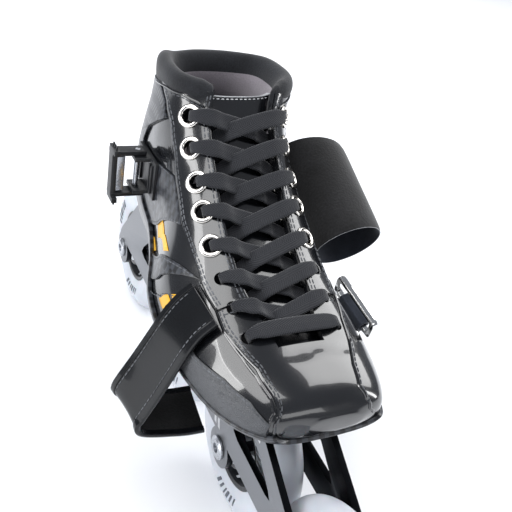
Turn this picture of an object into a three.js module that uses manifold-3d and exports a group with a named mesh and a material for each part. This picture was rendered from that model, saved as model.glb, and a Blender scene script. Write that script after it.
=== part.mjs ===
// A right-foot inline speed skate: a laced low boot on a frame with four wheels in line.
// Millimetres. +X is the inner (medial) side, -Y is the toe, +Z is up, and the wheels stand on z = 0.
import * as THREE from "three";
import { mergeVertices } from "three/addons/utils/BufferGeometryUtils.js";
import Module from "manifold-3d";

const wasm = await Module();
wasm.setup();

// ---------------------------------------------------------------- driving dimensions
const GAP = 0.3; // clearance between pieces that touch
const OVERRUN = 1; // how far a cutting tool passes the face that it cuts

const WHEEL_COUNT = 4;
const WHEEL_RADIUS = 50;
const WHEEL_WIDTH = 24;
const WHEEL_CLEARANCE = 2; // between neighbouring tyres
const TREAD_HEIGHT = 13; // height of the rounded part of the tyre
const CORE_RADIUS = 27;
const CORE_WIDTH = 19;
const CORE_RIM = 2.6;
const HUB_BARREL_RADIUS = 14;
const HUB_STOP_RADIUS = 9;
const SPOKE_COUNT = 7;
const SPOKE_THICKNESS = 2.2;
const SPOKE_WIDTH = 12;

const BEARING_RADIUS = 11;
const BEARING_BORE = 8;
const BEARING_WIDTH = 7;
const SPACER_LENGTH = 10;
const SPACER_WALL = 1.2;
const AXLE_DIAMETER = BEARING_BORE - 2 * GAP;
const AXLE_HEAD_RADIUS = 7;
const AXLE_HEAD_HEIGHT = 2;
const HEX_KEY_RADIUS = 2.9;
const HEX_KEY_DEPTH = 1.4;

const FRAME_WIDTH = 39;
const FRAME_WALL = 3.8;
const BOSS_RADIUS = 12; // disc of the wall round each axle
const AXLE_PAD_RADIUS = 6; // pad that meets the bearing's inner ring
const RAIL_BELOW = 8; // the lower rail's edges over the axles
const RAIL_ABOVE = 24;
const SPINE_ABOVE = 48; // the walls' top edge over the axles
const SPINE_DEPTH = 9;
const DECK_CLEARANCE = 5; // the front deck's top over the tyres
const HEEL_LIFT = 6; // the rear deck over the front one
const DECK_THICKNESS = 3.5;
const GUSSET = 6;

const BOLT_SPACING = 165;
const FRONT_BOLT_OFFSET = 25; // ahead of the second axle
const BOLT_RADIUS = 3.9;
const BOLT_HEAD_RADIUS = 6;
const BOLT_HEAD_HEIGHT = 3;

const BOOT_LENGTH = 217; // heel to toe over the upper
const BOOT_WIDTH_SCALE = 1;
const UPPER_WALL = 2.6;
const SOLE_WALL = 2.4;
const OVERLAY_WALL = 1.2;
const LINING_WALL = 3;
const INSOLE_WALL = 3;
const TONGUE_WALL = 3;
const TONGUE_HALF_WIDTH = 23.4;
const TONGUE_START = 3; // stations of its ends
const TONGUE_END = 16.4;
const TONGUE_TOE_SHARE = 0.72; // its width at the toe end, as a share of the full width
const TONGUE_FLARE = 0.07; // how much of the full width it gains with each station

const EYELET_HALF_SPACING = 26.5;
const EYELET_HALF_SPACING_LOW = 24.5;
const THROAT_HALF_GAP = 17.5;
const THROAT_HALF_GAP_LOW = 12.8;
const EYELET_ROWS = [14.3, 11.9, 10.05, 8.9, 7.8, 6.72, 5.68, 4.6]; // stations of the rows, top row first
const METAL_ROWS = 5;
const EYELET_FLANGE = 6;
const EYELET_BORE = 3.6;
const PUNCH_RADIUS = 4; // of the plain holes below the metal eyelets
const EYELET_LIP = 0.6;
const EYELET_BARREL_WALL = 0.5;

const LACE_WIDTH = 7;
const LACE_NECK = 4.4; // width of the lace where it is folded through a hole
const LACE_THICKNESS = 1.2;
const LACE_SLACK = 1; // between the lace and what it passes over or under
const LACE_CROSS = 1.1; // half the distance between two crossing runs
const LACE_TIP_LENGTH = 10;
const LACE_TIP_RADIUS = 1.9;

const ANKLE_STRAP_WIDTH = 56;
const ANKLE_ROOT_EXTRA = 14; // how much wider the ankle strap is where it is sewn on
const ANKLE_ROOT_TILT = 0.04; // how far that width is leant off the skin, as a share of it
const ANKLE_STRAP_THICKNESS = 2;
const ANKLE_LOOP_RADIUS = 20;
const FOREFOOT_STRAP_WIDTH = 28;
const FOREFOOT_STRAP_THICKNESS = 2;
const FOREFOOT_TURN = 5; // stop of its route from which it lies slanted

const BUCKLE_STATION = 12; // station of the skin that it stands on
const BUCKLE_LENGTH = 30;
const BUCKLE_WIDTH = 22;
const BUCKLE_CHEEK = 2.2;
const BUCKLE_PLATE = 2.2;
const BUCKLE_PIN_HEIGHT = 8;
const BUCKLE_PIN_RADIUS = 1.5;
const LEVER_ARM = 2.4;
const LEVER_REACH = 15;

const RING_LENGTH = 34;
const RING_DEPTH = 15;
const RING_WIRE = 3;
const KEEPER_WIDTH = 20;
const KEEPER_THICKNESS = 1.2;
const KEEPER_TAIL = 9; // stitched end of the keeper, from the middle of the ring's bar
const KEEPER_TUNNEL = RING_WIRE * Math.SQRT1_2 + GAP + 0.1; // radius that lets the ring's square wire turn
const RING_LIFT = GAP + KEEPER_THICKNESS + KEEPER_TUNNEL - RING_WIRE / 2; // ring's underside over the skin
const RING_STATION = 5.6;
const RING_ANGLE = 78; // degrees round the skin from the top

// ---------------------------------------------------------------- derived places
const AXLE_Z = WHEEL_RADIUS;
const WHEEL_PITCH = 2 * WHEEL_RADIUS + WHEEL_CLEARANCE;
const AXLES = Array.from({ length: WHEEL_COUNT }, (_, i) => (i - (WHEEL_COUNT - 1) / 2) * WHEEL_PITCH);
const WALL_INNER = FRAME_WIDTH / 2 - FRAME_WALL;
const BEARING_OUTER_FACE = SPACER_LENGTH / 2 + GAP + BEARING_WIDTH;
const RAIL_BOTTOM = AXLE_Z + RAIL_BELOW;
const RAIL_TOP = AXLE_Z + RAIL_ABOVE;
const SPINE_TOP = AXLE_Z + SPINE_ABOVE;
const FRONT_BOLT_Y = AXLES[1] - FRONT_BOLT_OFFSET;
const REAR_BOLT_Y = FRONT_BOLT_Y + BOLT_SPACING;
const FRONT_DECK = { start: FRONT_BOLT_Y - 11, end: FRONT_BOLT_Y + 34, top: 2 * WHEEL_RADIUS + DECK_CLEARANCE };
const REAR_DECK = { start: REAR_BOLT_Y - 19, end: REAR_BOLT_Y + 31, top: FRONT_DECK.top + HEEL_LIFT };
const BOLTS = [
  { name: "front_mount_bolt", y: FRONT_BOLT_Y, deck: FRONT_DECK },
  { name: "rear_mount_bolt", y: REAR_BOLT_Y, deck: REAR_DECK },
];
const SKIN_OVER_DECK = 2 * GAP + SOLE_WALL;
const FRONT_SKIN_Z = FRONT_DECK.top + SKIN_OVER_DECK;
const REAR_SKIN_Z = REAR_DECK.top + SKIN_OVER_DECK;

// Heights over the skin: of the eyelets' flange, and of the lace's middle over it and under the upper.
const EYELET_SEAT = OVERLAY_WALL + 3 * GAP;
const LACE_OVER = EYELET_SEAT + EYELET_LIP + LACE_THICKNESS / 2 + LACE_SLACK + 0.1;
const LACE_UNDER = -UPPER_WALL - LACE_THICKNESS / 2 - LACE_SLACK;
const LACE_MOUTH = -UPPER_WALL - LACE_THICKNESS / 2; // where it leaves a hole on the inside
const TONGUE_DROP = LACE_THICKNESS / 2 + LACE_SLACK + 2 * GAP - LACE_UNDER - 0.3; // depth of the tongue's face

// The boot's outer skin is lofted through sections that turn from upright at the toe to level at the collar.
// Each row: top y, top z, bottom y, bottom z, outer x, inner x, place of the widest point, roundness above
// and below (2 is an ellipse, more is squarer) and the flare low on the outer side. Heights are from the
// skin's own bottom level.
const LIFT = REAR_SKIN_Z - FRONT_SKIN_Z;
const NOMINAL_LENGTH = 217;
const STATIONS = [
  [-104.6, 14, -104.4, 6, -4, 22, 0.5, 2.2, 2.2, 0],
  [-100.5, 20.5, -101.5, 1.4, -21, 35, 0.56, 2.4, 2.6, 0.5],
  [-94, 25, -94.5, 0.3, -30, 40, 0.6, 2.5, 3, 1.5],
  [-83, 29, -83, 0, -37.5, 43.5, 0.63, 2.5, 3.4, 2],
  [-70, 32, -70, 0, -42, 46, 0.65, 2.5, 3.6, 2.5],
  [-56, 37, -54, 0, -44.5, 46.5, 0.64, 2.5, 3.6, 4],
  [-42, 43.5, -36, 0, -44.5, 44, 0.62, 2.6, 3.6, 7],
  [-28, 51, -16, 0.6, -43, 41, 0.58, 2.7, 3.5, 9.5],
  [-14, 60, 8, 2.4, -41, 38.5, 0.54, 2.9, 3.4, 9.5],
  [-1, 70.5, 34, LIFT - 1.2, -39, 36.5, 0.5, 3, 3.3, 4],
  [8.5, 80, 62, LIFT - 0.1, -37.5, 35.5, 0.47, 3, 3.1, 0.5],
  [15.5, 87.5, 89, LIFT + 1, -37, 35, 0.45, 3, 2.9, 0],
  [21, 94, 105, LIFT + 9, -37, 35, 0.45, 3, 2.7, 0],
  [25.5, 99.5, 111.5, 29, -37, 35.5, 0.45, 2.9, 2.6, 0],
  [29, 104, 112, 46, -36.5, 36, 0.45, 2.8, 2.5, 0],
  [32, 108, 108.5, 66, -35, 36.5, 0.46, 2.8, 2.4, 0],
  [34.5, 111.8, 103.5, 88, -33, 37, 0.47, 2.8, 2.4, 0],
  [36.5, 115, 100.5, 111, -32, 38, 0.48, 2.8, 2.4, 0],
];
const FLARE_START = -0.6;
const FLARE_FULL = 0.35;
const FLARE_FADE = 0.87;
const ROUND = { side: Math.PI / 2, bottom: Math.PI };
const THROAT_START = 4; // station where the vamp ends and the throat opens
const COLLAR = STATIONS.length - 1;
const SIDE_ANGLE = THREE.MathUtils.degToRad(76); // the columns above this angle follow the throat's edge
const EDGE_COLUMNS = 3;
const SIDE_COLUMNS = 8;
const SOLE_ANGLE = 2; // column, counted from the side angle, where the sole's wall ends

// ---------------------------------------------------------------- helpers
const vec = (x, y, z) => new THREE.Vector3(x, y, z);

function cubic(a, b, c, d, f) {
  const low = (c - a) / 2;
  const high = (d - b) / 2;
  return (2 * b - 2 * c + low + high) * f ** 3 + (3 * c - 3 * b - 2 * low - high) * f ** 2 + low * f + b;
}

function station(t) {
  const i = Math.min(Math.floor(t), COLLAR - 1);
  const row = (k) => STATIONS[THREE.MathUtils.clamp(k, 0, COLLAR)];
  return STATIONS[0].map((_, c) => cubic(row(i - 1)[c], row(i)[c], row(i + 1)[c], row(i + 2)[c], t - i));
}

// Share of the flare at a depth from -1 on top to 1 underneath: it grows down the side and fades under the sole.
function flareShare(depth) {
  const { smoothstep } = THREE.MathUtils;
  return smoothstep(depth, FLARE_START, FLARE_FULL) * (1 - smoothstep(depth, FLARE_FADE, 1));
}

// A point of the outer skin: t counts stations from the toe, angle is 0 on top and pi underneath.
function skinPoint(t, angle) {
  const [topY, topZ, lowY, lowZ, outer, inner, widest, above, below, flare] = station(t);
  const sine = Math.sin(angle);
  const cosine = Math.cos(angle);
  const power = 2 / (cosine > 0 ? above : below);
  const flared = sine < 0 ? flare * flareShare(-cosine) : 0;
  const x = (outer + inner) / 2 + ((inner - outer) / 2) * Math.sign(sine) * Math.abs(sine) ** power - flared;
  const depth = cosine > 0
    ? widest * (1 - cosine ** power)
    : widest + (1 - widest) * Math.abs(cosine) ** power;
  const y = topY + (lowY - topY) * depth;
  const z = topZ + (lowZ - topZ) * depth;
  return vec(x * BOOT_WIDTH_SCALE, (y * BOOT_LENGTH) / NOMINAL_LENGTH, FRONT_SKIN_Z + z);
}

function skinFrame(t, angle) {
  const step = 0.02;
  const along = skinPoint(t + step, angle).sub(skinPoint(t - step, angle)).normalize();
  const around = skinPoint(t, angle + step).sub(skinPoint(t, angle - step)).normalize();
  const out = new THREE.Vector3().crossVectors(around, along).normalize();
  return { along, around, out };
}

// The skin moved outwards by lift, or inwards when it is negative.
function skin(t, angle, lift = 0) {
  return skinPoint(t, angle).addScaledVector(skinFrame(t, angle).out, lift);
}

// The angle at which the skin lies half a width away from its middle line, on the top half.
function angleAt(t, offset) {
  const [, , , , outer, inner, , above] = station(t);
  const share = Math.abs(offset) / (((inner - outer) / 2) * BOOT_WIDTH_SCALE);
  return Math.sign(offset) * Math.asin(Math.min(share, 1) ** (above / 2));
}

function geometryOf(points, faces) {
  const used = faces.filter((f) => {
    const [a, b, c] = f.map((i) => points[i]);
    return a.distanceTo(b) > 1e-3 && b.distanceTo(c) > 1e-3 && c.distanceTo(a) > 1e-3;
  });
  const volume = used.reduce((sum, [a, b, c]) => sum + points[a].dot(
    new THREE.Vector3().crossVectors(points[b], points[c])), 0);
  const index = used.flatMap(([a, b, c]) => (volume > 0 ? [a, b, c] : [a, c, b]));
  const geometry = new THREE.BufferGeometry().setFromPoints(points);
  geometry.setIndex(index);
  return geometry;
}

// One closed body between two grids of points of the same size. A ring's columns join up.
function slab(outer, inner, ring = false) {
  const rows = outer.length;
  const columns = outer[0].length;
  const points = [...outer.flat(), ...inner.flat()];
  const at = (layer, i, j) => layer * rows * columns + i * columns + (j % columns);
  const faces = [];
  const quad = (a, b, c, d) => faces.push([a, b, c], [a, c, d]);
  const last = ring ? columns : columns - 1;
  for (let i = 0; i < rows - 1; i++) {
    for (let j = 0; j < last; j++) {
      quad(at(0, i, j), at(0, i, j + 1), at(0, i + 1, j + 1), at(0, i + 1, j));
      quad(at(1, i, j), at(1, i + 1, j), at(1, i + 1, j + 1), at(1, i, j + 1));
    }
    if (!ring) {
      quad(at(0, i, 0), at(0, i + 1, 0), at(1, i + 1, 0), at(1, i, 0));
      quad(at(0, i, last), at(1, i, last), at(1, i + 1, last), at(0, i + 1, last));
    }
  }
  for (let j = 0; j < last; j++) {
    quad(at(0, 0, j), at(1, 0, j), at(1, 0, j + 1), at(0, 0, j + 1));
    const end = rows - 1;
    quad(at(0, end, j), at(0, end, j + 1), at(1, end, j + 1), at(1, end, j));
  }
  return geometryOf(points, faces);
}

// A flat band along a route. Each stop holds its middle, its width direction and its width.
function band(stops, thickness) {
  const corners = stops.map((stop, i) => {
    const before = stops[Math.max(i - 1, 0)].at;
    const after = stops[Math.min(i + 1, stops.length - 1)].at;
    const run = after.clone().sub(before).normalize();
    const wide = stop.wide.clone().addScaledVector(run, -stop.wide.dot(run)).normalize();
    const flat = new THREE.Vector3().crossVectors(run, wide);
    const corner = (w, f) => stop.at.clone()
      .addScaledVector(wide, (w * stop.width) / 2)
      .addScaledVector(flat, (f * thickness) / 2);
    return [corner(-1, -1), corner(1, -1), corner(1, 1), corner(-1, 1)];
  });
  const points = corners.flat();
  const faces = [];
  for (let i = 0; i < corners.length - 1; i++) {
    for (let j = 0; j < 4; j++) {
      const a = i * 4 + j;
      const b = i * 4 + ((j + 1) % 4);
      faces.push([a, b, b + 4], [a, b + 4, a + 4]);
    }
  }
  const end = (corners.length - 1) * 4;
  faces.push([0, 2, 1], [0, 3, 2], [end, end + 1, end + 2], [end, end + 2, end + 3]);
  return geometryOf(points, faces);
}

function solid(geometry) {
  const plain = geometry.index ? geometry.toNonIndexed() : geometry.clone();
  plain.deleteAttribute("normal");
  plain.deleteAttribute("uv");
  const merged = mergeVertices(plain, 1e-4);
  return new wasm.Manifold(new wasm.Mesh({
    numProp: 3,
    vertProperties: merged.attributes.position.array,
    triVerts: new Uint32Array(merged.index.array),
  }));
}

function shape(made) {
  const mesh = made.getMesh();
  const geometry = new THREE.BufferGeometry();
  geometry.setAttribute("position", new THREE.BufferAttribute(mesh.vertProperties, 3));
  geometry.setIndex(new THREE.BufferAttribute(mesh.triVerts, 1));
  return geometry;
}

const join = (first, ...others) => shape(others.reduce((all, g) => all.add(solid(g)), solid(first)));
const cut = (body, ...tools) => shape(tools.reduce((all, g) => all.subtract(solid(g)), solid(body)));

// A solid of revolution about a line along X. The profile lists [radius, x] and closes on itself.
function turned(profile, segments) {
  const points = [...profile, profile[0]].map(([r, x]) => new THREE.Vector2(r, x));
  return new THREE.LatheGeometry(points, segments).rotateZ(-Math.PI / 2);
}

// A solid of revolution that starts and ends on its axis, along X.
function turnedBar(profile, segments) {
  const points = profile.map(([r, x]) => new THREE.Vector2(r, x));
  return new THREE.LatheGeometry(points, segments).rotateZ(-Math.PI / 2);
}

function block(size, centre) {
  return new THREE.BoxGeometry(size.x, size.y, size.z).translate(centre.x, centre.y, centre.z);
}

function pin(radius, length, segments = 20) {
  return new THREE.CylinderGeometry(radius, radius, length, segments);
}

// A cylinder or other solid made along +Y, turned to point along a direction at a place.
function aimed(geometry, place, direction) {
  const turn = new THREE.Quaternion().setFromUnitVectors(vec(0, 1, 0), direction.clone().normalize());
  return geometry.applyQuaternion(turn).translate(place.x, place.y, place.z);
}

// A path of [y, z] corners, each rounded by a radius.
function rounded(corners, radius, PathClass = THREE.Shape) {
  const path = new PathClass();
  const points = corners.map(([y, z]) => new THREE.Vector2(y, z));
  points.forEach((corner, i) => {
    const before = points[(i + points.length - 1) % points.length];
    const after = points[(i + 1) % points.length];
    const reach = Math.min(radius, corner.distanceTo(before) / 2.2, corner.distanceTo(after) / 2.2);
    const start = corner.clone().lerp(before, reach / corner.distanceTo(before));
    const end = corner.clone().lerp(after, reach / corner.distanceTo(after));
    if (i === 0) path.moveTo(start.x, start.y);
    else path.lineTo(start.x, start.y);
    path.quadraticCurveTo(corner.x, corner.y, end.x, end.y);
  });
  path.closePath();
  return path;
}

// ---------------------------------------------------------------- materials
const paint = (color, roughness, metalness = 0) => new THREE.MeshStandardMaterial({ color, roughness, metalness });
const PATENT = paint(0x0c0d10, 0.12);
const LEATHER = paint(0x2a2b2e, 0.55);
const CARBON = paint(0x1b1c1f, 0.35);
const SUEDE = paint(0x3a3638, 0.95);
const PADDING = paint(0x202225, 0.9);
const STRAP = paint(0x232529, 0.8);
const CORD = paint(0x1e1f21, 0.85);
const PLASTIC = paint(0x15161a, 0.45);
const ANODISED = paint(0xb4b7bd, 0.35, 1);
const STEEL = paint(0xc9ccd0, 0.25, 1);
const NICKEL = paint(0xe2e0da, 0.15, 1);
const URETHANE = paint(0xe6e9ec, 0.4);
const HUB = paint(0x26282c, 0.5);

const skate = new THREE.Group();
skate.name = "inline_speed_skate";

function add(name, geometry, material, parent = skate) {
  const mesh = new THREE.Mesh(geometry, material);
  mesh.name = name;
  parent.add(mesh);
  return mesh;
}

// ---------------------------------------------------------------- wheels
function tyre() {
  const half = WHEEL_WIDTH / 2;
  const inner = CORE_RADIUS + GAP;
  const shoulder = WHEEL_RADIUS - TREAD_HEIGHT;
  const profile = [[inner, -CORE_WIDTH / 2]];
  const steps = 6;
  for (let i = 0; i <= steps; i++) {
    const angle = (i / steps - 0.5) * Math.PI;
    profile.push([shoulder + TREAD_HEIGHT * Math.cos(angle), half * Math.sin(angle)]);
  }
  profile.push([inner, CORE_WIDTH / 2]);
  return turned(profile, 28);
}

function hub() {
  const half = CORE_WIDTH / 2;
  const rimInner = CORE_RADIUS - CORE_RIM;
  const rim = turned([[rimInner, -half], [CORE_RADIUS, -half], [CORE_RADIUS, half], [rimInner, half]], 24);
  const seat = BEARING_RADIUS + GAP;
  const stop = SPACER_LENGTH / 2;
  const end = BEARING_OUTER_FACE - GAP;
  const barrel = turned([
    [HUB_BARREL_RADIUS, -end], [HUB_BARREL_RADIUS, end], [seat, end], [seat, stop],
    [HUB_STOP_RADIUS, stop], [HUB_STOP_RADIUS, -stop], [seat, -stop], [seat, -end],
  ], 14);
  const middle = (HUB_BARREL_RADIUS + rimInner) / 2;
  const reach = rimInner - HUB_BARREL_RADIUS + CORE_RIM;
  const spokes = Array.from({ length: SPOKE_COUNT }, (_, i) => block(
    vec(SPOKE_WIDTH, SPOKE_THICKNESS, reach), vec(0, 0, middle)).rotateX((i / SPOKE_COUNT) * 2 * Math.PI));
  return join(rim, barrel, ...spokes);
}

function ring(outer, inner, width, segments) {
  return turned([[inner, -width / 2], [outer, -width / 2], [outer, width / 2], [inner, width / 2]], segments);
}

function axle() {
  const shaft = AXLE_DIAMETER / 2;
  const face = FRAME_WIDTH / 2 + GAP;
  const bar = turnedBar([
    [0, -face - AXLE_HEAD_HEIGHT], [AXLE_HEAD_RADIUS, -face - AXLE_HEAD_HEIGHT], [AXLE_HEAD_RADIUS, -face],
    [shaft, -face], [shaft, FRAME_WIDTH / 2], [0, FRAME_WIDTH / 2],
  ], 12);
  const socket = pin(HEX_KEY_RADIUS, 2 * HEX_KEY_DEPTH, 6).rotateZ(Math.PI / 2);
  return cut(bar, socket.translate(-face - AXLE_HEAD_HEIGHT, 0, 0));
}

AXLES.forEach((y, i) => {
  const wheel = new THREE.Group();
  wheel.position.set(0, y, AXLE_Z);
  skate.add(wheel);
  const side = SPACER_LENGTH / 2 + GAP + BEARING_WIDTH / 2;
  const number = i + 1;
  add(`tyre_${number}`, tyre(), URETHANE, wheel);
  add(`hub_${number}`, hub(), HUB, wheel);
  const race = BEARING_BORE / 2;
  add(`bearing_${number}_outer_side`, ring(BEARING_RADIUS, race, BEARING_WIDTH, 14), STEEL, wheel).position.x = -side;
  add(`bearing_${number}_inner_side`, ring(BEARING_RADIUS, race, BEARING_WIDTH, 14), STEEL, wheel).position.x = side;
  const sleeve = ring(race + SPACER_WALL, race, SPACER_LENGTH, 12);
  add(`spacer_${number}`, sleeve, STEEL, wheel);
  add(`axle_${number}`, axle(), STEEL, wheel);
});

// ---------------------------------------------------------------- frame
function frameWall(side) {
  const front = AXLES[0];
  const rear = AXLES[WHEEL_COUNT - 1];
  const outline = rounded([
    [front - BOSS_RADIUS * 0.9, AXLE_Z], [front - BOSS_RADIUS * 0.7, AXLE_Z + BOSS_RADIUS],
    [FRONT_DECK.start + 4, FRONT_DECK.top], [FRONT_DECK.end, FRONT_DECK.top],
    [FRONT_DECK.end + 16, SPINE_TOP], [REAR_DECK.start - 16, SPINE_TOP], [REAR_DECK.start, REAR_DECK.top],
    [REAR_DECK.end, REAR_DECK.top], [rear + BOSS_RADIUS * 0.7, AXLE_Z + BOSS_RADIUS],
    [rear + BOSS_RADIUS * 0.9, AXLE_Z], [rear, RAIL_BOTTOM], [front, RAIL_BOTTOM],
  ], 6);
  const ledge = SPINE_TOP - SPINE_DEPTH;
  outline.holes = [
    rounded([[front + 41, RAIL_TOP], [front + 92, RAIL_TOP], [front + 96, ledge], [front + 70, ledge + 4]],
      9, THREE.Path),
    rounded([[-36, RAIL_TOP], [44, RAIL_TOP], [50, ledge], [-42, ledge]], 7, THREE.Path),
    rounded([[rear - 88, RAIL_TOP], [rear - 40, RAIL_TOP], [rear - 62, ledge + 8], [rear - 82, ledge + 4]],
      9, THREE.Path),
  ];
  const plate = new THREE.ExtrudeGeometry(outline, { depth: FRAME_WALL, bevelEnabled: false, curveSegments: 2 });
  plate.applyMatrix4(new THREE.Matrix4().makeBasis(vec(0, 1, 0), vec(0, 0, 1), vec(1, 0, 0)));
  plate.translate(side > 0 ? WALL_INNER : -FRAME_WIDTH / 2, 0, 0);
  const middle = side * (WALL_INNER + FRAME_WALL / 2);
  const discs = AXLES.map((y) => pin(BOSS_RADIUS, FRAME_WALL, 20).rotateZ(Math.PI / 2).translate(middle, y, AXLE_Z));
  const reach = WALL_INNER - BEARING_OUTER_FACE - GAP + OVERRUN;
  const pads = AXLES.map((y) => pin(AXLE_PAD_RADIUS, reach, 12).rotateZ(Math.PI / 2)
    .translate(side * (WALL_INNER + OVERRUN - reach / 2), y, AXLE_Z));
  return join(plate, ...discs, ...pads);
}

function deck({ start, end, top }) {
  const width = 2 * WALL_INNER + FRAME_WALL;
  return block(vec(width, end - start, DECK_THICKNESS), vec(0, (start + end) / 2, top - DECK_THICKNESS / 2));
}

// A small fillet under the front deck's leading edge, against one wall.
function gusset(side) {
  const corner = new THREE.Shape();
  corner.moveTo(side * (WALL_INNER + OVERRUN), 0);
  corner.lineTo(side * (WALL_INNER - GUSSET), 0);
  corner.quadraticCurveTo(side * WALL_INNER, 0, side * WALL_INNER, -GUSSET * 1.3);
  corner.lineTo(side * (WALL_INNER + OVERRUN), -GUSSET * 1.3);
  corner.closePath();
  const made = new THREE.ExtrudeGeometry(corner, { depth: GUSSET, bevelEnabled: false, curveSegments: 5 });
  made.rotateX(Math.PI / 2);
  return made.translate(0, FRONT_DECK.start + GUSSET, FRONT_DECK.top - DECK_THICKNESS + GAP);
}

const axleHoles = AXLES.map((y) => pin(AXLE_DIAMETER / 2 + GAP, FRAME_WIDTH + 2 * OVERRUN, 12)
  .rotateZ(Math.PI / 2).translate(0, y, AXLE_Z));
const boltHoles = BOLTS.map(({ y, deck: { top } }) => pin(BOLT_RADIUS + GAP, 2 * DECK_THICKNESS, 12)
  .rotateX(Math.PI / 2).translate(0, y, top));
const frameBody = join(frameWall(-1), frameWall(1), deck(FRONT_DECK), deck(REAR_DECK), gusset(-1), gusset(1));
add("frame", cut(frameBody, ...axleHoles, ...boltHoles), ANODISED);

BOLTS.forEach(({ name, y, deck: { top } }) => {
  const under = top - DECK_THICKNESS - GAP;
  const tip = top + GAP + SOLE_WALL - GAP;
  const bolt = new THREE.LatheGeometry([
    [0, under - BOLT_HEAD_HEIGHT], [BOLT_HEAD_RADIUS, under - BOLT_HEAD_HEIGHT], [BOLT_HEAD_RADIUS, under],
    [BOLT_RADIUS, under], [BOLT_RADIUS, tip], [0, tip],
  ].map(([r, z]) => new THREE.Vector2(r, z)), 12).rotateX(Math.PI / 2);
  add(name, bolt, STEEL).position.y = y;
});

// ---------------------------------------------------------------- boot shells
const range = (from, to, steps) => Array.from({ length: steps + 1 }, (_, i) => from + ((to - from) * i) / steps);
const sideAngles = range(SIDE_ANGLE, ROUND.bottom, SIDE_COLUMNS);
const SKIN_ROWS = [0.3, 1, 2, 3, 4, 5.2, 6.4, 7.6, 8.8, 9.9, 11, 12.2, 13.2, 14.2, 15.3, COLLAR];
const SEAM = 0.03; // half of a seam's width, in stations
const rowsBetween = (from, to) => [from, ...SKIN_ROWS.filter((t) => t > from + 0.1 && t < to - 0.1), to];

function throatGap(t) {
  const share = THREE.MathUtils.smoothstep(t, THROAT_START, THROAT_START + 2.5);
  return THREE.MathUtils.lerp(THROAT_HALF_GAP_LOW, THROAT_HALF_GAP, share);
}

function eyeletSpacing(t) {
  const share = THREE.MathUtils.smoothstep(t, THROAT_START, THROAT_START + 3);
  return THREE.MathUtils.lerp(EYELET_HALF_SPACING_LOW, EYELET_HALF_SPACING, share);
}

// Angles of a row from the throat's edge to the middle of the sole, on one side.
function quarterAngles(t) {
  return [...range(angleAt(t, throatGap(t)), SIDE_ANGLE, EDGE_COLUMNS).slice(0, -1), ...sideAngles];
}

// A wall of the skin between two depths. Rows are stations, and anglesOf gives each row's columns.
function skinWall(rows, anglesOf, top, low, closed = false) {
  const lift = (value, t) => (typeof value === "function" ? value(t) : value);
  const ordered = (t) => [...anglesOf(t)].sort((a, b) => a - b);
  const grid = (value) => rows.map((t) => ordered(t).map((angle) => skin(t, angle, lift(value, t))));
  return slab(grid(top), grid(low), closed);
}

function holeAt(t, side, radius) {
  const angle = angleAt(t, side * eyeletSpacing(t));
  const { out } = skinFrame(t, angle);
  return aimed(pin(radius, 14, 8), skin(t, angle, -1), out);
}

const barrelRadius = EYELET_BORE + EYELET_BARREL_WALL;
const HOLE_CLEARANCE = 2 * GAP;
const holesOf = (side) => EYELET_ROWS.map((t, i) => holeAt(t, side, i < METAL_ROWS ? barrelRadius + HOLE_CLEARANCE : PUNCH_RADIUS));

// The vamp is closed all round and ends in a rounded toe.
function vamp() {
  const half = [0, 0.12, 0.25, 0.4, 0.55, 0.7, 0.85].map((share) => share * SIDE_ANGLE);
  const angles = [...half, ...sideAngles];
  const round = [...angles, ...angles.slice(1, -1).reverse().map((a) => -a)];
  const rows = [...SKIN_ROWS.filter((t) => t < THROAT_START), THROAT_START - SEAM];
  const grid = (lift) => {
    const tip = skin(0.3, 0, 0).add(skin(0.3, ROUND.bottom, 0)).multiplyScalar(0.5);
    tip.y = skinPoint(0, ROUND.side).y - lift;
    return [round.map(() => tip), ...rows.map((t) => round.map((angle) => skin(t, angle, lift)))];
  };
  return slab(grid(0), grid(-UPPER_WALL), true);
}

add("vamp", vamp(), PATENT);

const sides = [{ name: "lateral", sign: -1 }, { name: "medial", sign: 1 }];
sides.forEach(({ name, sign }) => {
  const rows = rowsBetween(THROAT_START + SEAM, COLLAR);
  const seamAngle = 0.006;
  const anglesOf = (t) => quarterAngles(t).map((a) => sign * Math.min(a, ROUND.bottom - seamAngle));
  const quarter = skinWall(rows, anglesOf, 0, -UPPER_WALL);
  add(`quarter_${name}`, cut(quarter, ...holesOf(sign)), PATENT);

  const stayRows = rowsBetween(THROAT_START + 0.2, COLLAR - 0.2);
  const stayAngles = (t) => range(angleAt(t, throatGap(t)), SIDE_ANGLE, EDGE_COLUMNS).slice(0, -1).map((a) => sign * a);
  const stay = skinWall(stayRows, stayAngles, GAP + OVERLAY_WALL, GAP);
  add(`eyestay_${name}`, cut(stay, ...holesOf(sign)), PATENT);
});

// Outer wall round the heel, and the grained panel low on the outer side of the forefoot.
const heelColumns = sideAngles.slice(2, SIDE_COLUMNS);
const heelAngles = [...heelColumns, ROUND.bottom, ...heelColumns.map((a) => 2 * Math.PI - a).reverse()];
const heelRows = rowsBetween(12.2, 15.3);
add("heel_counter", skinWall(heelRows, () => heelAngles, GAP + OVERLAY_WALL, GAP), CARBON);

const soleTopColumn = SOLE_ANGLE;
const soleColumns = sideAngles.slice(soleTopColumn, SIDE_COLUMNS);
const soleAngles = [...soleColumns, ROUND.bottom, ...soleColumns.map((a) => 2 * Math.PI - a).reverse()];
const sole = skinWall(rowsBetween(1, 12.2 - 2 * SEAM), () => soleAngles, GAP + SOLE_WALL, GAP);
const soleHoles = BOLTS.map(({ y, deck: { top } }) => pin(BOLT_RADIUS + GAP, 12, 12)
  .rotateX(Math.PI / 2).translate(0, y, top));
add("sole_shell", cut(sole, ...soleHoles), CARBON);

const panelAngles = () => sideAngles.slice(0, soleTopColumn).map((a) => -a);
add("side_panel_lateral", skinWall(rowsBetween(2, 6.4), panelAngles, GAP + OVERLAY_WALL, GAP), LEATHER);

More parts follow.
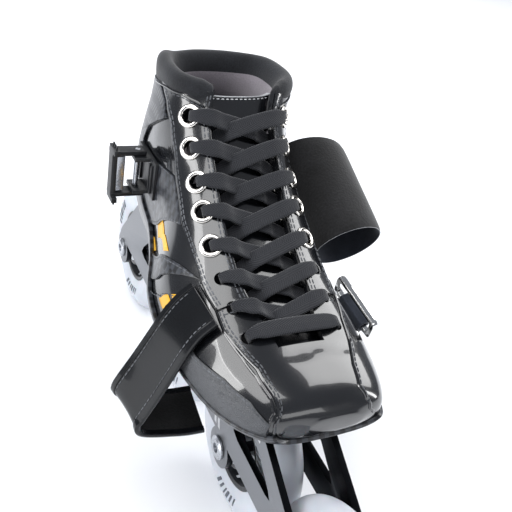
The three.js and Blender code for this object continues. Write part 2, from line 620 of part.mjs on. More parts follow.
const braceAngles = () => sideAngles.slice(0, soleTopColumn).map((a) => -a);
add("carbon_brace_lateral", skinWall(rowsBetween(6.4 + 2 * SEAM, 9.9), braceAngles, GAP + OVERLAY_WALL, GAP), CARBON);

const liningColumns = sideAngles;
const liningAngles = [...liningColumns, ...liningColumns.slice(0, -1).map((a) => 2 * Math.PI - a).reverse()];
const liningTop = -UPPER_WALL - GAP;
add("collar_lining", skinWall(rowsBetween(13.2, COLLAR), () => liningAngles, liningTop, liningTop - LINING_WALL), SUEDE);

const insoleColumns = sideAngles.slice(5);
const insoleAngles = [...insoleColumns, ...insoleColumns.slice(0, -1).map((a) => 2 * Math.PI - a).reverse()];
add("insole", skinWall(rowsBetween(2, 11), () => insoleAngles, liningTop, liningTop - INSOLE_WALL), PADDING);

const tongueHalf = (t) => TONGUE_HALF_WIDTH * Math.min(1, TONGUE_TOE_SHARE + TONGUE_FLARE * (t - TONGUE_START));
const tongueAngles = (t) => range(-1, 1, 6).map((share) => angleAt(t, share * tongueHalf(t)));
const tongueTop = (t) => THREE.MathUtils.lerp(liningTop, -TONGUE_DROP, THREE.MathUtils.smoothstep(t, 3.4, 4.4));
add("tongue", skinWall(rowsBetween(TONGUE_START, TONGUE_END), tongueAngles, tongueTop, (t) => tongueTop(t) - TONGUE_WALL), PATENT);

// ---------------------------------------------------------------- eyelets and lace
sides.forEach(({ name, sign }) => {
  EYELET_ROWS.slice(0, METAL_ROWS).forEach((t, i) => {
    const low = -UPPER_WALL + GAP;
    const face = EYELET_SEAT;
    const profile = [[EYELET_BORE, low], [barrelRadius, low], [barrelRadius, face], [EYELET_FLANGE, face],
      [EYELET_BORE + 1, face + EYELET_LIP], [EYELET_BORE, face], [EYELET_BORE, low]];
    const eyelet = new THREE.LatheGeometry(profile.map(([r, h]) => new THREE.Vector2(r, h)), 10);
    const angle = angleAt(t, sign * eyeletSpacing(t));
    add(`eyelet_${name}_${i + 1}`, aimed(eyelet, skinPoint(t, angle), skinFrame(t, angle).out), NICKEL);
  });
});

// A place of the lace: row counts from the top, across runs from -1 at the outer hole to 1 at the inner one.
function lacePlace(row, across, height) {
  const i = THREE.MathUtils.clamp(Math.floor(row - 1), 0, EYELET_ROWS.length - 2);
  const t = THREE.MathUtils.lerp(EYELET_ROWS[i], EYELET_ROWS[i + 1], row - 1 - i);
  return skin(t, angleAt(t, across * eyeletSpacing(t)), height);
}

// One run: up out of the hole on one side, under the eyestay, over the middle and into the next hole up.
function laceRun(row, side) {
  const middle = side < 0 ? LACE_CROSS : -LACE_CROSS;
  const stop = (across, height, width = LACE_WIDTH) => {
    const rise = Math.min(Math.max((1 - across) / 2, 0), 1);
    return { row: row - rise, across: side * across, height, width };
  };
  return [
    stop(1, -0.5, LACE_NECK), stop(0.97, LACE_MOUTH, LACE_NECK), stop(0.85, LACE_UNDER, LACE_NECK),
    stop(0.43, LACE_UNDER + 0.1), stop(0.26, middle - 0.9), stop(0, middle), stop(-0.38, middle + 0.9),
    stop(-0.6, LACE_OVER - 0.5), stop(-0.72, LACE_OVER), stop(-0.85, LACE_OVER + 0.3, LACE_NECK),
    stop(-0.96, LACE_OVER - 0.9, LACE_NECK),
  ];
}

function laceStrand(side) {
  const stops = [];
  const bottom = EYELET_ROWS.length;
  [[0, 0, LACE_WIDTH], [0.7, 0, LACE_WIDTH], [0.85, 0.3, LACE_NECK], [0.96, -0.9, LACE_NECK]].forEach(
    ([across, rise, width]) => stops.push({ row: bottom, across: side * across, height: LACE_OVER + rise, width }));
  let now = side;
  for (let row = bottom; row > 1; row--) {
    stops.push(...laceRun(row, now));
    now = -now;
  }
  [[0.99, -0.5], [1.01, LACE_MOUTH + GAP], [1.07, LACE_UNDER - 0.4], [1.12, LACE_UNDER - 2]].forEach(([across, height]) => stops.push(
    { row: 1, across: now * across, height, width: LACE_NECK }));
  return stops;
}

const strands = [laceStrand(-1).reverse(), laceStrand(1).slice(1)].flat();
const laceStops = strands.map((stop) => {
  const at = lacePlace(stop.row, stop.across, stop.height);
  const up = lacePlace(stop.row - 0.05, stop.across, stop.height).sub(at).normalize();
  return { at, wide: up, width: stop.width };
});
add("lace", band(laceStops, LACE_THICKNESS), CORD);

[["lace_tip_lateral", 0, 1], ["lace_tip_medial", laceStops.length - 1, laceStops.length - 2]].forEach(([name, end, before]) => {
  const place = laceStops[end].at;
  const run = place.clone().sub(laceStops[before].at).normalize();
  const tip = pin(LACE_TIP_RADIUS, LACE_TIP_LENGTH, 10);
  const middle = place.clone().addScaledVector(run, GAP + LACE_TIP_LENGTH / 2);
  add(name, aimed(tip, middle, run), PLASTIC);
});

// ---------------------------------------------------------------- ankle strap
function ankleStrap() {
  const seat = THREE.MathUtils.degToRad(84);
  const { out, around } = skinFrame(9.3, seat);
  const wide = skinPoint(8.2, seat).sub(skinPoint(10.6, seat)).normalize();
  const up = around.clone().negate().addScaledVector(wide, wide.dot(around)).normalize();
  const root = skin(9.3, seat, GAP + ANKLE_STRAP_THICKNESS / 2 + 0.9);
  const stops = [-8, -3, 2].map((rise) => root.clone().addScaledVector(up, rise));
  const centre = root.clone().addScaledVector(out, ANKLE_LOOP_RADIUS).addScaledVector(up, 8);
  range(180, -138, 15).forEach((degrees) => {
    const angle = THREE.MathUtils.degToRad(degrees);
    stops.push(centre.clone().addScaledVector(out, ANKLE_LOOP_RADIUS * Math.cos(angle))
      .addScaledVector(up, ANKLE_LOOP_RADIUS * Math.sin(angle)));
  });
  return band(stops.map((at, i) => {
    const extra = ANKLE_ROOT_EXTRA * (1 - THREE.MathUtils.smoothstep(i, 0, stops.length * 0.6));
    const tilt = extra * ANKLE_ROOT_TILT;
    return {
      at: at.clone().addScaledVector(wide, -extra / 2).addScaledVector(out, tilt),
      wide: wide.clone().addScaledVector(out, (-2 * tilt) / ANKLE_STRAP_WIDTH).normalize(),
      width: ANKLE_STRAP_WIDTH + extra,
    };
  }), ANKLE_STRAP_THICKNESS);
}
add("ankle_strap", ankleStrap(), STRAP);

// ---------------------------------------------------------------- forefoot strap
function forefootStrap() {
  const rootWide = vec(0, -0.966, -0.258);
  const foldWide = vec(0.24, -0.94, -0.24);
  const root = skin(6.1, THREE.MathUtils.degToRad(-50), OVERLAY_WALL + GAP + 2.2);
  const route = [[0, 0], [-7, -6.5], [-13, -16], [-19, -29], [-25, -42], [-30.5, -53], [-33, -58.5], [-33.4, -62.5],
    [-31, -66], [-26, -68.5], [-16, -71], [-5, -73], [6, -73.5]];
  const stops = route.map(([x, z], i) => ({
    at: root.clone().add(vec(x, 0, z)),
    wide: rootWide.clone().lerp(foldWide, Math.min(i / FOREFOOT_TURN, 1)).normalize(),
    width: FOREFOOT_STRAP_WIDTH,
  }));
  return band(stops, FOREFOOT_STRAP_THICKNESS);
}
add("forefoot_strap", forefootStrap(), STRAP);

// ---------------------------------------------------------------- buckle
// A group that stands on the skin: x runs as given, z points out of the skin.
function seated(t, angle, direction, lift) {
  const { out } = skinFrame(t, angle);
  const run = direction.clone().addScaledVector(out, -direction.dot(out)).normalize();
  const basis = new THREE.Matrix4().makeBasis(run, new THREE.Vector3().crossVectors(out, run), out);
  const group = new THREE.Group();
  group.applyMatrix4(basis);
  group.position.copy(skin(t, angle, lift));
  skate.add(group);
  return group;
}

const buckle = seated(BUCKLE_STATION, -ROUND.side, vec(0, -1, 0), 2 * GAP);

function buckleBase() {
  const plate = block(vec(BUCKLE_LENGTH, BUCKLE_WIDTH, BUCKLE_PLATE), vec(0, 0, BUCKLE_PLATE / 2));
  const cheekHeight = BUCKLE_PIN_HEIGHT + 3;
  const cheeks = [-1, 1].map((s) => block(vec(BUCKLE_LENGTH * 0.45, BUCKLE_CHEEK, cheekHeight),
    vec(0, s * (BUCKLE_WIDTH - BUCKLE_CHEEK) / 2, cheekHeight / 2)));
  return cut(join(plate, ...cheeks), pin(BUCKLE_PIN_RADIUS + GAP, BUCKLE_WIDTH + 2 * OVERRUN, 16)
    .translate(0, 0, BUCKLE_PIN_HEIGHT));
}
add("buckle_base", buckleBase(), PLASTIC, buckle);

function buckleLever() {
  const inner = BUCKLE_WIDTH / 2 + GAP;
  const arms = [-1, 1].map((s) => block(vec(8, LEVER_ARM, LEVER_REACH + 4),
    vec(0, s * (inner + LEVER_ARM / 2), LEVER_REACH / 2 - 2)));
  const wings = [-1, 1].map((s) => block(vec(11, 3, 3), vec(2, s * (inner + LEVER_ARM + 0.6), LEVER_REACH - 1.5)));
  const bridge = block(vec(7, 2 * inner + 1, 3), vec(0, 0, LEVER_REACH - 1.5));
  const hole = pin(BUCKLE_PIN_RADIUS + GAP, 2 * (inner + LEVER_ARM + OVERRUN), 16);
  return cut(join(bridge, ...arms, ...wings), hole);
}
const lever = add("buckle_lever", buckleLever(), PLASTIC, buckle);
lever.position.z = BUCKLE_PIN_HEIGHT;

const buckleAxis = pin(BUCKLE_PIN_RADIUS, BUCKLE_WIDTH + 2 * (GAP + LEVER_ARM), 16);
add("buckle_pin", buckleAxis, STEEL, buckle).position.z = BUCKLE_PIN_HEIGHT;

// ---------------------------------------------------------------- strap ring and its keeper
const ringHolder = seated(RING_STATION, THREE.MathUtils.degToRad(RING_ANGLE), vec(0, -0.945, -0.327), 0);

function strapRing() {
  const outline = rounded([[-RING_LENGTH / 2, 0], [RING_LENGTH / 2, 0], [RING_LENGTH / 2, RING_DEPTH],
    [-RING_LENGTH / 2, RING_DEPTH]], 3.5);
  const x = RING_LENGTH / 2 - RING_WIRE;
  outline.holes = [rounded([[-x, RING_WIRE], [x, RING_WIRE], [x, RING_DEPTH - RING_WIRE],
    [-x, RING_DEPTH - RING_WIRE]], 1.5, THREE.Path)];
  return new THREE.ExtrudeGeometry(outline, { depth: RING_WIRE, bevelEnabled: false, curveSegments: 3 });
}
const ringMesh = add("strap_ring", strapRing(), NICKEL, ringHolder);
ringMesh.position.set(0, -RING_DEPTH, RING_LIFT);

// A strip of webbing folded round the ring's lower bar and stitched down below it.
function ringKeeper() {
  const bar = -RING_WIRE / 2;
  const inner = KEEPER_TUNNEL;
  const outer = inner + KEEPER_THICKNESS;
  const middle = RING_LIFT + RING_WIRE / 2;
  const outline = new THREE.Shape();
  outline.moveTo(bar + KEEPER_TAIL, middle - outer);
  outline.lineTo(bar, middle - outer);
  outline.lineTo(bar - outer, middle - outer * 0.6);
  outline.lineTo(bar - outer, middle + outer * 0.6);
  outline.lineTo(bar, middle + outer);
  outline.lineTo(bar + outer, middle + outer * 0.6);
  outline.lineTo(bar + outer + 2, middle - inner);
  outline.lineTo(bar + KEEPER_TAIL, middle - inner);
  outline.closePath();
  const keeper = new THREE.ExtrudeGeometry(outline, { depth: KEEPER_WIDTH, bevelEnabled: false });
  keeper.applyMatrix4(new THREE.Matrix4().makeBasis(vec(0, 1, 0), vec(0, 0, 1), vec(1, 0, 0)));
  keeper.translate(-KEEPER_WIDTH / 2, 0, 0);
  const tunnel = pin(KEEPER_TUNNEL, KEEPER_WIDTH + 2 * OVERRUN, 14).rotateZ(Math.PI / 2).translate(0, bar, middle);
  return cut(keeper, tunnel);
}
add("ring_keeper", ringKeeper(), LEATHER, ringHolder);

// The origin is the middle of the bounding box in x and y, on the ground.
skate.updateMatrixWorld(true);
const bounds = new THREE.Box3().setFromObject(skate, true);
const centre = bounds.getCenter(vec(0, 0, 0));
const part = new THREE.Group();
part.name = "part";
skate.position.set(-centre.x, -centre.y, -bounds.min.z);
part.add(skate);

export default part;
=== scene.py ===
import math
from contextlib import contextmanager

import bmesh
import bpy
from mathutils import Matrix, Vector


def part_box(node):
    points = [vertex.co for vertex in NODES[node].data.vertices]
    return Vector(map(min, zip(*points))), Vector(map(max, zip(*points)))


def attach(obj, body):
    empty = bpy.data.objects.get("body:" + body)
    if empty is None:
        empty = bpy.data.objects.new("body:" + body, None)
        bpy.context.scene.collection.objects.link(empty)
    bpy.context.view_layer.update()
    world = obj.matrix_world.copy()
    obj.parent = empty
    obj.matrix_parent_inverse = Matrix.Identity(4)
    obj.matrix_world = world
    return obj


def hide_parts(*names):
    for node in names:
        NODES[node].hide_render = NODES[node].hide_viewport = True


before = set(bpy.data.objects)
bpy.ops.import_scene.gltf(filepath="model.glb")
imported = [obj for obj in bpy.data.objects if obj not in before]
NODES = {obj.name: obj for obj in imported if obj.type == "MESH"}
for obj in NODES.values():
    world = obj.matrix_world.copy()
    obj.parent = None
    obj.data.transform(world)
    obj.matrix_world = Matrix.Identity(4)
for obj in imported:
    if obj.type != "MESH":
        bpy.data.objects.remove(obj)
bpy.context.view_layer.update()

bl_info = {
    "name": "Inline speed skate",
    "version": (1, 0, 0),
    "blender": (4, 5, 0),
    "location": "View3D > Sidebar > Skate",
    "description": "Builds a right-foot inline speed skate round its packed frame",
    "category": "Object",
}

MM = 0.001
WHEEL_RADIUS = (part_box("tyre_1")[1].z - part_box("tyre_1")[0].z) / 2
MIDDLE_X = (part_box("frame")[0].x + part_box("frame")[1].x) / 2
AXLE_Z = WHEEL_RADIUS
AXLES = [(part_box("tyre_%d" % n)[0].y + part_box("tyre_%d" % n)[1].y) / 2 for n in range(1, 5)]
SPOKES = 9

# ------------------------------------------------------------------ the boot's skin
# Each row: top y, top z, bottom y, bottom z, outer x, inner x, place of the widest point,
# roundness above and below, and the flare low on the outer side, in millimetres.
SKIN_Z = 108.0
HEEL = 6.0
STATIONS = [
    [-104.6, 14, -104.4, 6, -4, 22, 0.5, 2.2, 2.2, 0],
    [-100.5, 20.5, -101.5, 1.4, -21, 35, 0.56, 2.4, 2.6, 0.5],
    [-94, 25, -94.5, 0.3, -30, 40, 0.6, 2.5, 3, 1.5],
    [-83, 29, -83, 0, -37.5, 43.5, 0.63, 2.5, 3.4, 2],
    [-70, 32, -70, 0, -42, 46, 0.65, 2.5, 3.6, 2.5],
    [-56, 37, -54, 0, -44.5, 46.5, 0.64, 2.5, 3.6, 4],
    [-42, 43.5, -36, 0, -44.5, 44, 0.62, 2.6, 3.6, 7],
    [-28, 51, -16, 0.6, -43, 41, 0.58, 2.7, 3.5, 9.5],
    [-14, 60, 8, 2.4, -41, 38.5, 0.54, 2.9, 3.4, 9.5],
    [-1, 70.5, 34, HEEL - 1.2, -39, 36.5, 0.5, 3, 3.3, 4],
    [8.5, 80, 62, HEEL - 0.1, -37.5, 35.5, 0.47, 3, 3.1, 0.5],
    [15.5, 87.5, 89, HEEL + 1, -37, 35, 0.45, 3, 2.9, 0],
    [21, 94, 105, HEEL + 9, -37, 35, 0.45, 3, 2.7, 0],
    [25.5, 99.5, 111.5, 29, -37, 35.5, 0.45, 2.9, 2.6, 0],
    [29, 104, 112, 46, -36.5, 36, 0.45, 2.8, 2.5, 0],
    [32, 108, 108.5, 66, -35, 36.5, 0.46, 2.8, 2.4, 0],
    [34.5, 111.8, 103.5, 88, -33, 37, 0.47, 2.8, 2.4, 0],
    [36.5, 115, 100.5, 111, -32, 38, 0.48, 2.8, 2.4, 0],
]
COLLAR = len(STATIONS) - 1
EYELET_ROWS = [14.3, 11.9, 10.05, 8.9, 7.8, 6.72, 5.68, 4.6]
METAL_ROWS = 5
UPPER_WALL = 2.6
OVERLAY = 1.2
LATERAL, MEDIAL = -1, 1
# How far down the side, as a cosine, the flare begins, is whole, and fades out under the sole.
FLARE_START, FLARE_FULL, FLARE_FADE = -0.6, 0.35, 0.87


def cubic(a, b, c, d, f):
    low, high = (c - a) / 2, (d - b) / 2
    return (2 * b - 2 * c + low + high) * f ** 3 + (3 * c - 3 * b - 2 * low - high) * f ** 2 + low * f + b


def station(t):
    i = min(int(math.floor(t)), COLLAR - 1)
    rows = [STATIONS[max(0, min(i + k, COLLAR))] for k in (-1, 0, 1, 2)]
    return [cubic(*(row[c] for row in rows), t - i) for c in range(10)]


def skin_point(t, degrees):
    """A point of the outer skin: 0 degrees is on top, 180 underneath, and the outer side is negative."""
    top_y, top_z, low_y, low_z, outer, inner, widest, above, below, flare = station(t)
    angle = math.radians(degrees)
    sine, cosine = math.sin(angle), math.cos(angle)
    power = 2 / (above if cosine > 0 else below)
    x = (outer + inner) / 2 + (inner - outer) / 2 * math.copysign(abs(sine) ** power, sine)
    if sine < 0:
        x -= flare * smooth_step(-cosine, FLARE_START, FLARE_FULL) * (1 - smooth_step(-cosine, FLARE_FADE, 1))
    if cosine > 0:
        depth = widest * (1 - cosine ** power)
    else:
        depth = widest + (1 - widest) * abs(cosine) ** power
    y = top_y + (low_y - top_y) * depth
    z = top_z + (low_z - top_z) * depth
    return Vector((x * MM + MIDDLE_X, y * MM, (SKIN_Z + z) * MM))


def skin_out(t, degrees):
    along = skin_point(t + 0.02, degrees) - skin_point(t - 0.02, degrees)
    around = skin_point(t, degrees + 1.2) - skin_point(t, degrees - 1.2)
    return around.cross(along).normalized()


def skin(t, degrees, lift=0.0):
    return skin_point(t, degrees) + skin_out(t, degrees) * (lift * MM)


def angle_at(t, offset):
    """The angle at which the top half lies offset millimetres from the middle line."""
    row = station(t)
    share = min(abs(offset) / ((row[5] - row[4]) / 2), 1)
    return math.copysign(math.degrees(math.asin(share ** (row[7] / 2))), offset)


def smooth_step(value, low, high):
    share = max(0.0, min((value - low) / (high - low), 1.0))
    return share * share * (3 - 2 * share)


def lerp(a, b, share):
    return a + (b - a) * share


def along(start, stop, steps):
    return [start + (stop - start) * i / steps for i in range(steps + 1)]


def through(points, value):
    """Reads a polyline of (key, value) pairs at a key, with straight runs between them."""
    ordered = sorted(points)
    if value <= ordered[0][0]:
        return ordered[0][1]
    for (a, first), (b, second) in zip(ordered, ordered[1:]):
        if value <= b:
            return lerp(first, second, (value - a) / (b - a))
    return ordered[-1][1]


def throat_half(t):
    return lerp(12.8, 17.5, smooth_step(t, 4, 6.5))


def eyelet_half(t):
    return lerp(24.5, 26.5, smooth_step(t, 4, 7))


# Lengths over the skin, in metres, so that a woven pattern keeps its size.
TABLE_ROWS, TABLE_COLUMNS = 68, 36
TABLE_T = along(0.05, COLLAR, TABLE_ROWS)
TABLE_A = along(0, 180, TABLE_COLUMNS)


def length_tables():
    around, down = [], []
    for t in TABLE_T:
        row, total, last = [], 0.0, skin_point(t, 0)
        for a in TABLE_A:
            here = skin_point(t, -a)
            total += (here - last).length
            last = here
            row.append(total)
        around.append(row)
    for a in TABLE_A:
        total, last = 0.0, skin_point(TABLE_T[0], -a)
        column = []
        for t in TABLE_T:
            here = skin_point(t, -a)
            total += (here - last).length
            last = here
            column.append(total)
        down.append(column)
    return around, down


AROUND, DOWN = length_tables()


def skin_uv(t, degrees):
    """The distance round the skin and down it, read from the tables."""
    f = max(0.0, min((t - TABLE_T[0]) / (COLLAR - TABLE_T[0]) * TABLE_ROWS, TABLE_ROWS - 0.001))
    a = degrees % 360
    g = min((360 - a if a > 180 else a) / (180 / TABLE_COLUMNS), TABLE_COLUMNS - 0.001)
    i, j = int(f), int(g)
    u = lerp(lerp(AROUND[i][j], AROUND[i][j + 1], g - j),
             lerp(AROUND[i + 1][j], AROUND[i + 1][j + 1], g - j), f - i)
    v = lerp(lerp(DOWN[j][i], DOWN[j][i + 1], f - i),
             lerp(DOWN[j + 1][i], DOWN[j + 1][i + 1], f - i), g - j)
    return (u, v)


# ------------------------------------------------------------------ materials
def linear(hex_colour):
    parts = [int(hex_colour[i:i + 2], 16) / 255 for i in (1, 3, 5)]
    return tuple(c / 12.92 if c <= 0.04045 else ((c + 0.055) / 1.055) ** 2.4 for c in parts) + (1.0,)


def add_node(tree, kind, settings=(), links=()):
    """Adds one node, sets its own settings or its sockets' values, and links its inputs."""
    node = tree.nodes.new(kind)
    for key, value in dict(settings).items():
        if isinstance(key, str) and hasattr(node, key):
            setattr(node, key, value)
        else:
            node.inputs[key].default_value = value
    for key, source in dict(links).items():
        tree.links.new(source, node.inputs[key])
    return node


def new_material(name, settings):
    made = bpy.data.materials.new(name)
    made.use_nodes = True
    tree = made.node_tree
    shader = tree.nodes["Principled BSDF"]
    for key, value in settings.items():
        shader.inputs[key].default_value = value
    return made, tree, shader


def patent_leather(name, colour, waves, film=1.0):
    # Patent leather: split hide under a poured polyurethane film.
    # The film gives mirror patches with soft, wavy edges.
    made, tree, shader = new_material(name,
                                      {"Roughness": 0.2, "IOR": 1.5, "Specular IOR Level": 0.5 * film,
                                       "Coat Weight": film, "Coat Roughness": 0.03, "Coat IOR": 1.5})
    place = add_node(tree, "ShaderNodeTexCoord").outputs["Object"]
    swell = add_node(tree, "ShaderNodeTexNoise", {"Scale": 34.0, "Detail": 1.5},
                     {"Vector": place})  # 30 mm waves in the film
    grain = add_node(tree, "ShaderNodeTexNoise", {"Scale": 620.0, "Detail": 2.0},
                     {"Vector": place})  # 1.6 mm hide grain
    tint = add_node(tree, "ShaderNodeMix", {"data_type": "RGBA", 6: linear(colour), 7: linear("#16181c")},
                    {0: swell.outputs["Fac"]})
    tree.links.new(tint.outputs[2], shader.inputs["Base Color"])
    coarse = add_node(tree, "ShaderNodeBump", {"Strength": waves, "Distance": 0.003},
                      {"Height": swell.outputs["Fac"]})
    fine = add_node(tree, "ShaderNodeBump", {"Strength": 0.05, "Distance": 0.0002},
                    {"Height": grain.outputs["Fac"], "Normal": coarse.outputs["Normal"]})
    tree.links.new(fine.outputs["Normal"], shader.inputs["Normal"])
    tree.links.new(coarse.outputs["Normal"], shader.inputs["Coat Normal"])
    return made


def carbon_weave(name, colour, thread):
    # Carbon-pattern microfibre: embossed with a 2 x 2 twill and glossed, so that its ribs catch the light in steps.
    made, tree, shader = new_material(name,
                                      {"Roughness": 0.34, "IOR": 1.5, "Coat Weight": 0.35, "Coat Roughness": 0.25})
    lay = add_node(tree, "ShaderNodeTexCoord").outputs["UV"]
    turn = add_node(tree, "ShaderNodeMapping", {"Rotation": (0, 0, math.radians(20))}, {"Vector": lay})
    cells = add_node(tree, "ShaderNodeTexChecker", {"Scale": 1 / (3.4 * MM)},
                     {"Vector": turn.outputs["Vector"]})  # 3.4 mm tows
    warp = add_node(tree, "ShaderNodeTexWave",
                    {"bands_direction": "X", "Scale": 1 / (20 * 1.1 * MM), "Distortion": 0.4},
                    {"Vector": turn.outputs["Vector"]})
    weft = add_node(tree, "ShaderNodeTexWave",
                    {"bands_direction": "Y", "Scale": 1 / (20 * 1.1 * MM), "Distortion": 0.4},
                    {"Vector": turn.outputs["Vector"]})
    woven = add_node(tree, "ShaderNodeMix", {"data_type": "FLOAT"},
                     {0: cells.outputs["Fac"], 2: warp.outputs["Fac"], 3: weft.outputs["Fac"]})
    height = add_node(tree, "ShaderNodeMath", {"operation": "MULTIPLY_ADD", 1: 0.35},
                      {0: woven.outputs[0], 2: cells.outputs["Fac"]})
    tint = add_node(tree, "ShaderNodeMix", {"data_type": "RGBA", 6: linear(colour), 7: linear(thread)},
                    {0: height.outputs[0]})
    tree.links.new(tint.outputs[2], shader.inputs["Base Color"])
    bump = add_node(tree, "ShaderNodeBump", {"Strength": 0.55, "Distance": 0.0006}, {"Height": height.outputs[0]})
    tree.links.new(bump.outputs["Normal"], shader.inputs["Normal"])
    return made


def grained_leather(name, colour):
    # Full-grain leather, milled: pebbled creases about a millimetre across with a dull wax finish.
    made, tree, shader = new_material(name, {"Roughness": 0.42, "IOR": 1.5, "Specular IOR Level": 0.6})
    place = add_node(tree, "ShaderNodeTexCoord").outputs["Object"]
    pebble = add_node(tree, "ShaderNodeTexVoronoi", {"feature": "DISTANCE_TO_EDGE", "Scale": 900.0},
                      {"Vector": place})  # 1.1 mm pebbles
    cloud = add_node(tree, "ShaderNodeTexNoise", {"Scale": 160.0, "Detail": 4.0}, {"Vector": place})
    tint = add_node(tree, "ShaderNodeMix", {"data_type": "RGBA", 6: linear(colour), 7: linear("#54565a")},
                    {0: cloud.outputs["Fac"]})
    rough = add_node(tree, "ShaderNodeMapRange", {"To Min": 0.36, "To Max": 0.56}, {"Value": cloud.outputs["Fac"]})
    tree.links.new(tint.outputs[2], shader.inputs["Base Color"])
    tree.links.new(rough.outputs["Result"], shader.inputs["Roughness"])
    bump = add_node(tree, "ShaderNodeBump", {"Strength": 0.8, "Distance": 0.0006},
                    {"Height": pebble.outputs["Distance"]})
    tree.links.new(bump.outputs["Normal"], shader.inputs["Normal"])
    return made


def napped_fabric(name, colour, other, sheen, pitch):
    # Brushed or knitted lining: short fibres scatter light at the edges, and the knit's pitch shows as fine relief.
    made, tree, shader = new_material(name,
                                      {"Roughness": 0.92, "IOR": 1.45, "Specular IOR Level": 0.25,
                                       "Sheen Weight": sheen, "Sheen Roughness": 0.5})
    place = add_node(tree, "ShaderNodeTexCoord").outputs["Object"]
    nap = add_node(tree, "ShaderNodeTexNoise", {"Scale": 1 / (pitch * MM), "Detail": 3.0}, {"Vector": place})
    cloud = add_node(tree, "ShaderNodeTexNoise", {"Scale": 55.0, "Detail": 2.0}, {"Vector": place})
    both = add_node(tree, "ShaderNodeMath", {"operation": "MULTIPLY"},
                    {0: nap.outputs["Fac"], 1: cloud.outputs["Fac"]})
    spread = add_node(tree, "ShaderNodeMapRange", {"From Min": 0.12, "From Max": 0.4}, {"Value": both.outputs[0]})
    tint = add_node(tree, "ShaderNodeMix", {"data_type": "RGBA", 6: linear(colour), 7: linear(other)},
                    {0: spread.outputs["Result"]})
    tree.links.new(tint.outputs[2], shader.inputs["Base Color"])
    bump = add_node(tree, "ShaderNodeBump", {"Strength": 0.5, "Distance": 0.0004}, {"Height": nap.outputs["Fac"]})
    tree.links.new(bump.outputs["Normal"], shader.inputs["Normal"])
    return made


def herringbone_lace(name, colour, other):
    # Flat polyester lace woven in a herringbone twill: 1.3 mm ribs that slant up to the middle from both edges.
    made, tree, shader = new_material(name,
                                      {"Roughness": 0.8, "IOR": 1.5, "Specular IOR Level": 0.35,
                                       "Sheen Weight": 0.25, "Sheen Roughness": 0.4})
    lay = add_node(tree, "ShaderNodeTexCoord").outputs["UV"]
    parts = add_node(tree, "ShaderNodeSeparateXYZ", {}, {"Vector": lay})
    slant = add_node(tree, "ShaderNodeMath", {"operation": "ABSOLUTE"}, {0: parts.outputs["X"]})
    run = add_node(tree, "ShaderNodeMath", {"operation": "ADD"}, {0: slant.outputs[0], 1: parts.outputs["Y"]})
    phase = add_node(tree, "ShaderNodeMath", {"operation": "MULTIPLY", 1: 2 * math.pi / (1.3 * MM)},
                     {0: run.outputs[0]})
    rib = add_node(tree, "ShaderNodeMath", {"operation": "SINE"}, {0: phase.outputs[0]})
    pick = add_node(tree, "ShaderNodeMath", {"operation": "MULTIPLY", 1: 2 * math.pi / (0.8 * MM)},
                    {0: parts.outputs["X"]})
    thread = add_node(tree, "ShaderNodeMath", {"operation": "SINE"}, {0: pick.outputs[0]})
    height = add_node(tree, "ShaderNodeMath", {"operation": "MULTIPLY_ADD", 1: 0.4},
                      {0: thread.outputs[0], 2: rib.outputs[0]})
    spread = add_node(tree, "ShaderNodeMapRange", {"From Min": -1.4, "From Max": 1.4}, {"Value": height.outputs[0]})
    tint = add_node(tree, "ShaderNodeMix", {"data_type": "RGBA", 6: linear(colour), 7: linear(other)},
                    {0: spread.outputs["Result"]})
    tree.links.new(tint.outputs[2], shader.inputs["Base Color"])
    bump = add_node(tree, "ShaderNodeBump", {"Strength": 0.6, "Distance": 0.0004},
                    {"Height": spread.outputs["Result"]})
    tree.links.new(bump.outputs["Normal"], shader.inputs["Normal"])
    return made


def cast_urethane(name, colour):
    # Cast polyurethane: dense and slightly cloudy, with a soft shine that its mould leaves and dust that dulls it.
    made, tree, shader = new_material(name,
                                      {"Roughness": 0.32, "IOR": 1.5, "Subsurface Weight": 0.15,
                                       "Subsurface Scale": 0.004})
    place = add_node(tree, "ShaderNodeTexCoord").outputs["Object"]
    dust = add_node(tree, "ShaderNodeTexNoise", {"Scale": 70.0, "Detail": 5.0}, {"Vector": place})
    tint = add_node(tree, "ShaderNodeMix", {"data_type": "RGBA", 6: linear(colour), 7: linear("#b4b9c2")},
                    {0: dust.outputs["Fac"]})
    rough = add_node(tree, "ShaderNodeMapRange", {"To Min": 0.26, "To Max": 0.44}, {"Value": dust.outputs["Fac"]})
    tree.links.new(tint.outputs[2], shader.inputs["Base Color"])
    tree.links.new(rough.outputs["Result"], shader.inputs["Roughness"])
    return made


def worked_metal(name, colour, roughness, scale, strength):
    # Metal with the marks of how it was made: a soft unevenness of roughness and fine relief, never a clean mirror.
    made, tree, shader = new_material(name, {"Metallic": 1.0})
    place = add_node(tree, "ShaderNodeTexCoord").outputs["Object"]
    marks = add_node(tree, "ShaderNodeTexNoise", {"Scale": scale, "Detail": 4.0}, {"Vector": place})
    rough = add_node(tree, "ShaderNodeMapRange", {"To Min": roughness * 0.75, "To Max": roughness * 1.3},
                     {"Value": marks.outputs["Fac"]})
    shade = add_node(tree, "ShaderNodeHueSaturation", {"Color": linear(colour)}, {"Value": add_node(
        tree, "ShaderNodeMapRange", {"To Min": 0.9, "To Max": 1.06},
        {"Value": marks.outputs["Fac"]}).outputs["Result"]})
    tree.links.new(shade.outputs["Color"], shader.inputs["Base Color"])
    tree.links.new(rough.outputs["Result"], shader.inputs["Roughness"])
    bump = add_node(tree, "ShaderNodeBump", {"Strength": strength, "Distance": 0.0001},
                    {"Height": marks.outputs["Fac"]})
    tree.links.new(bump.outputs["Normal"], shader.inputs["Normal"])
    return made


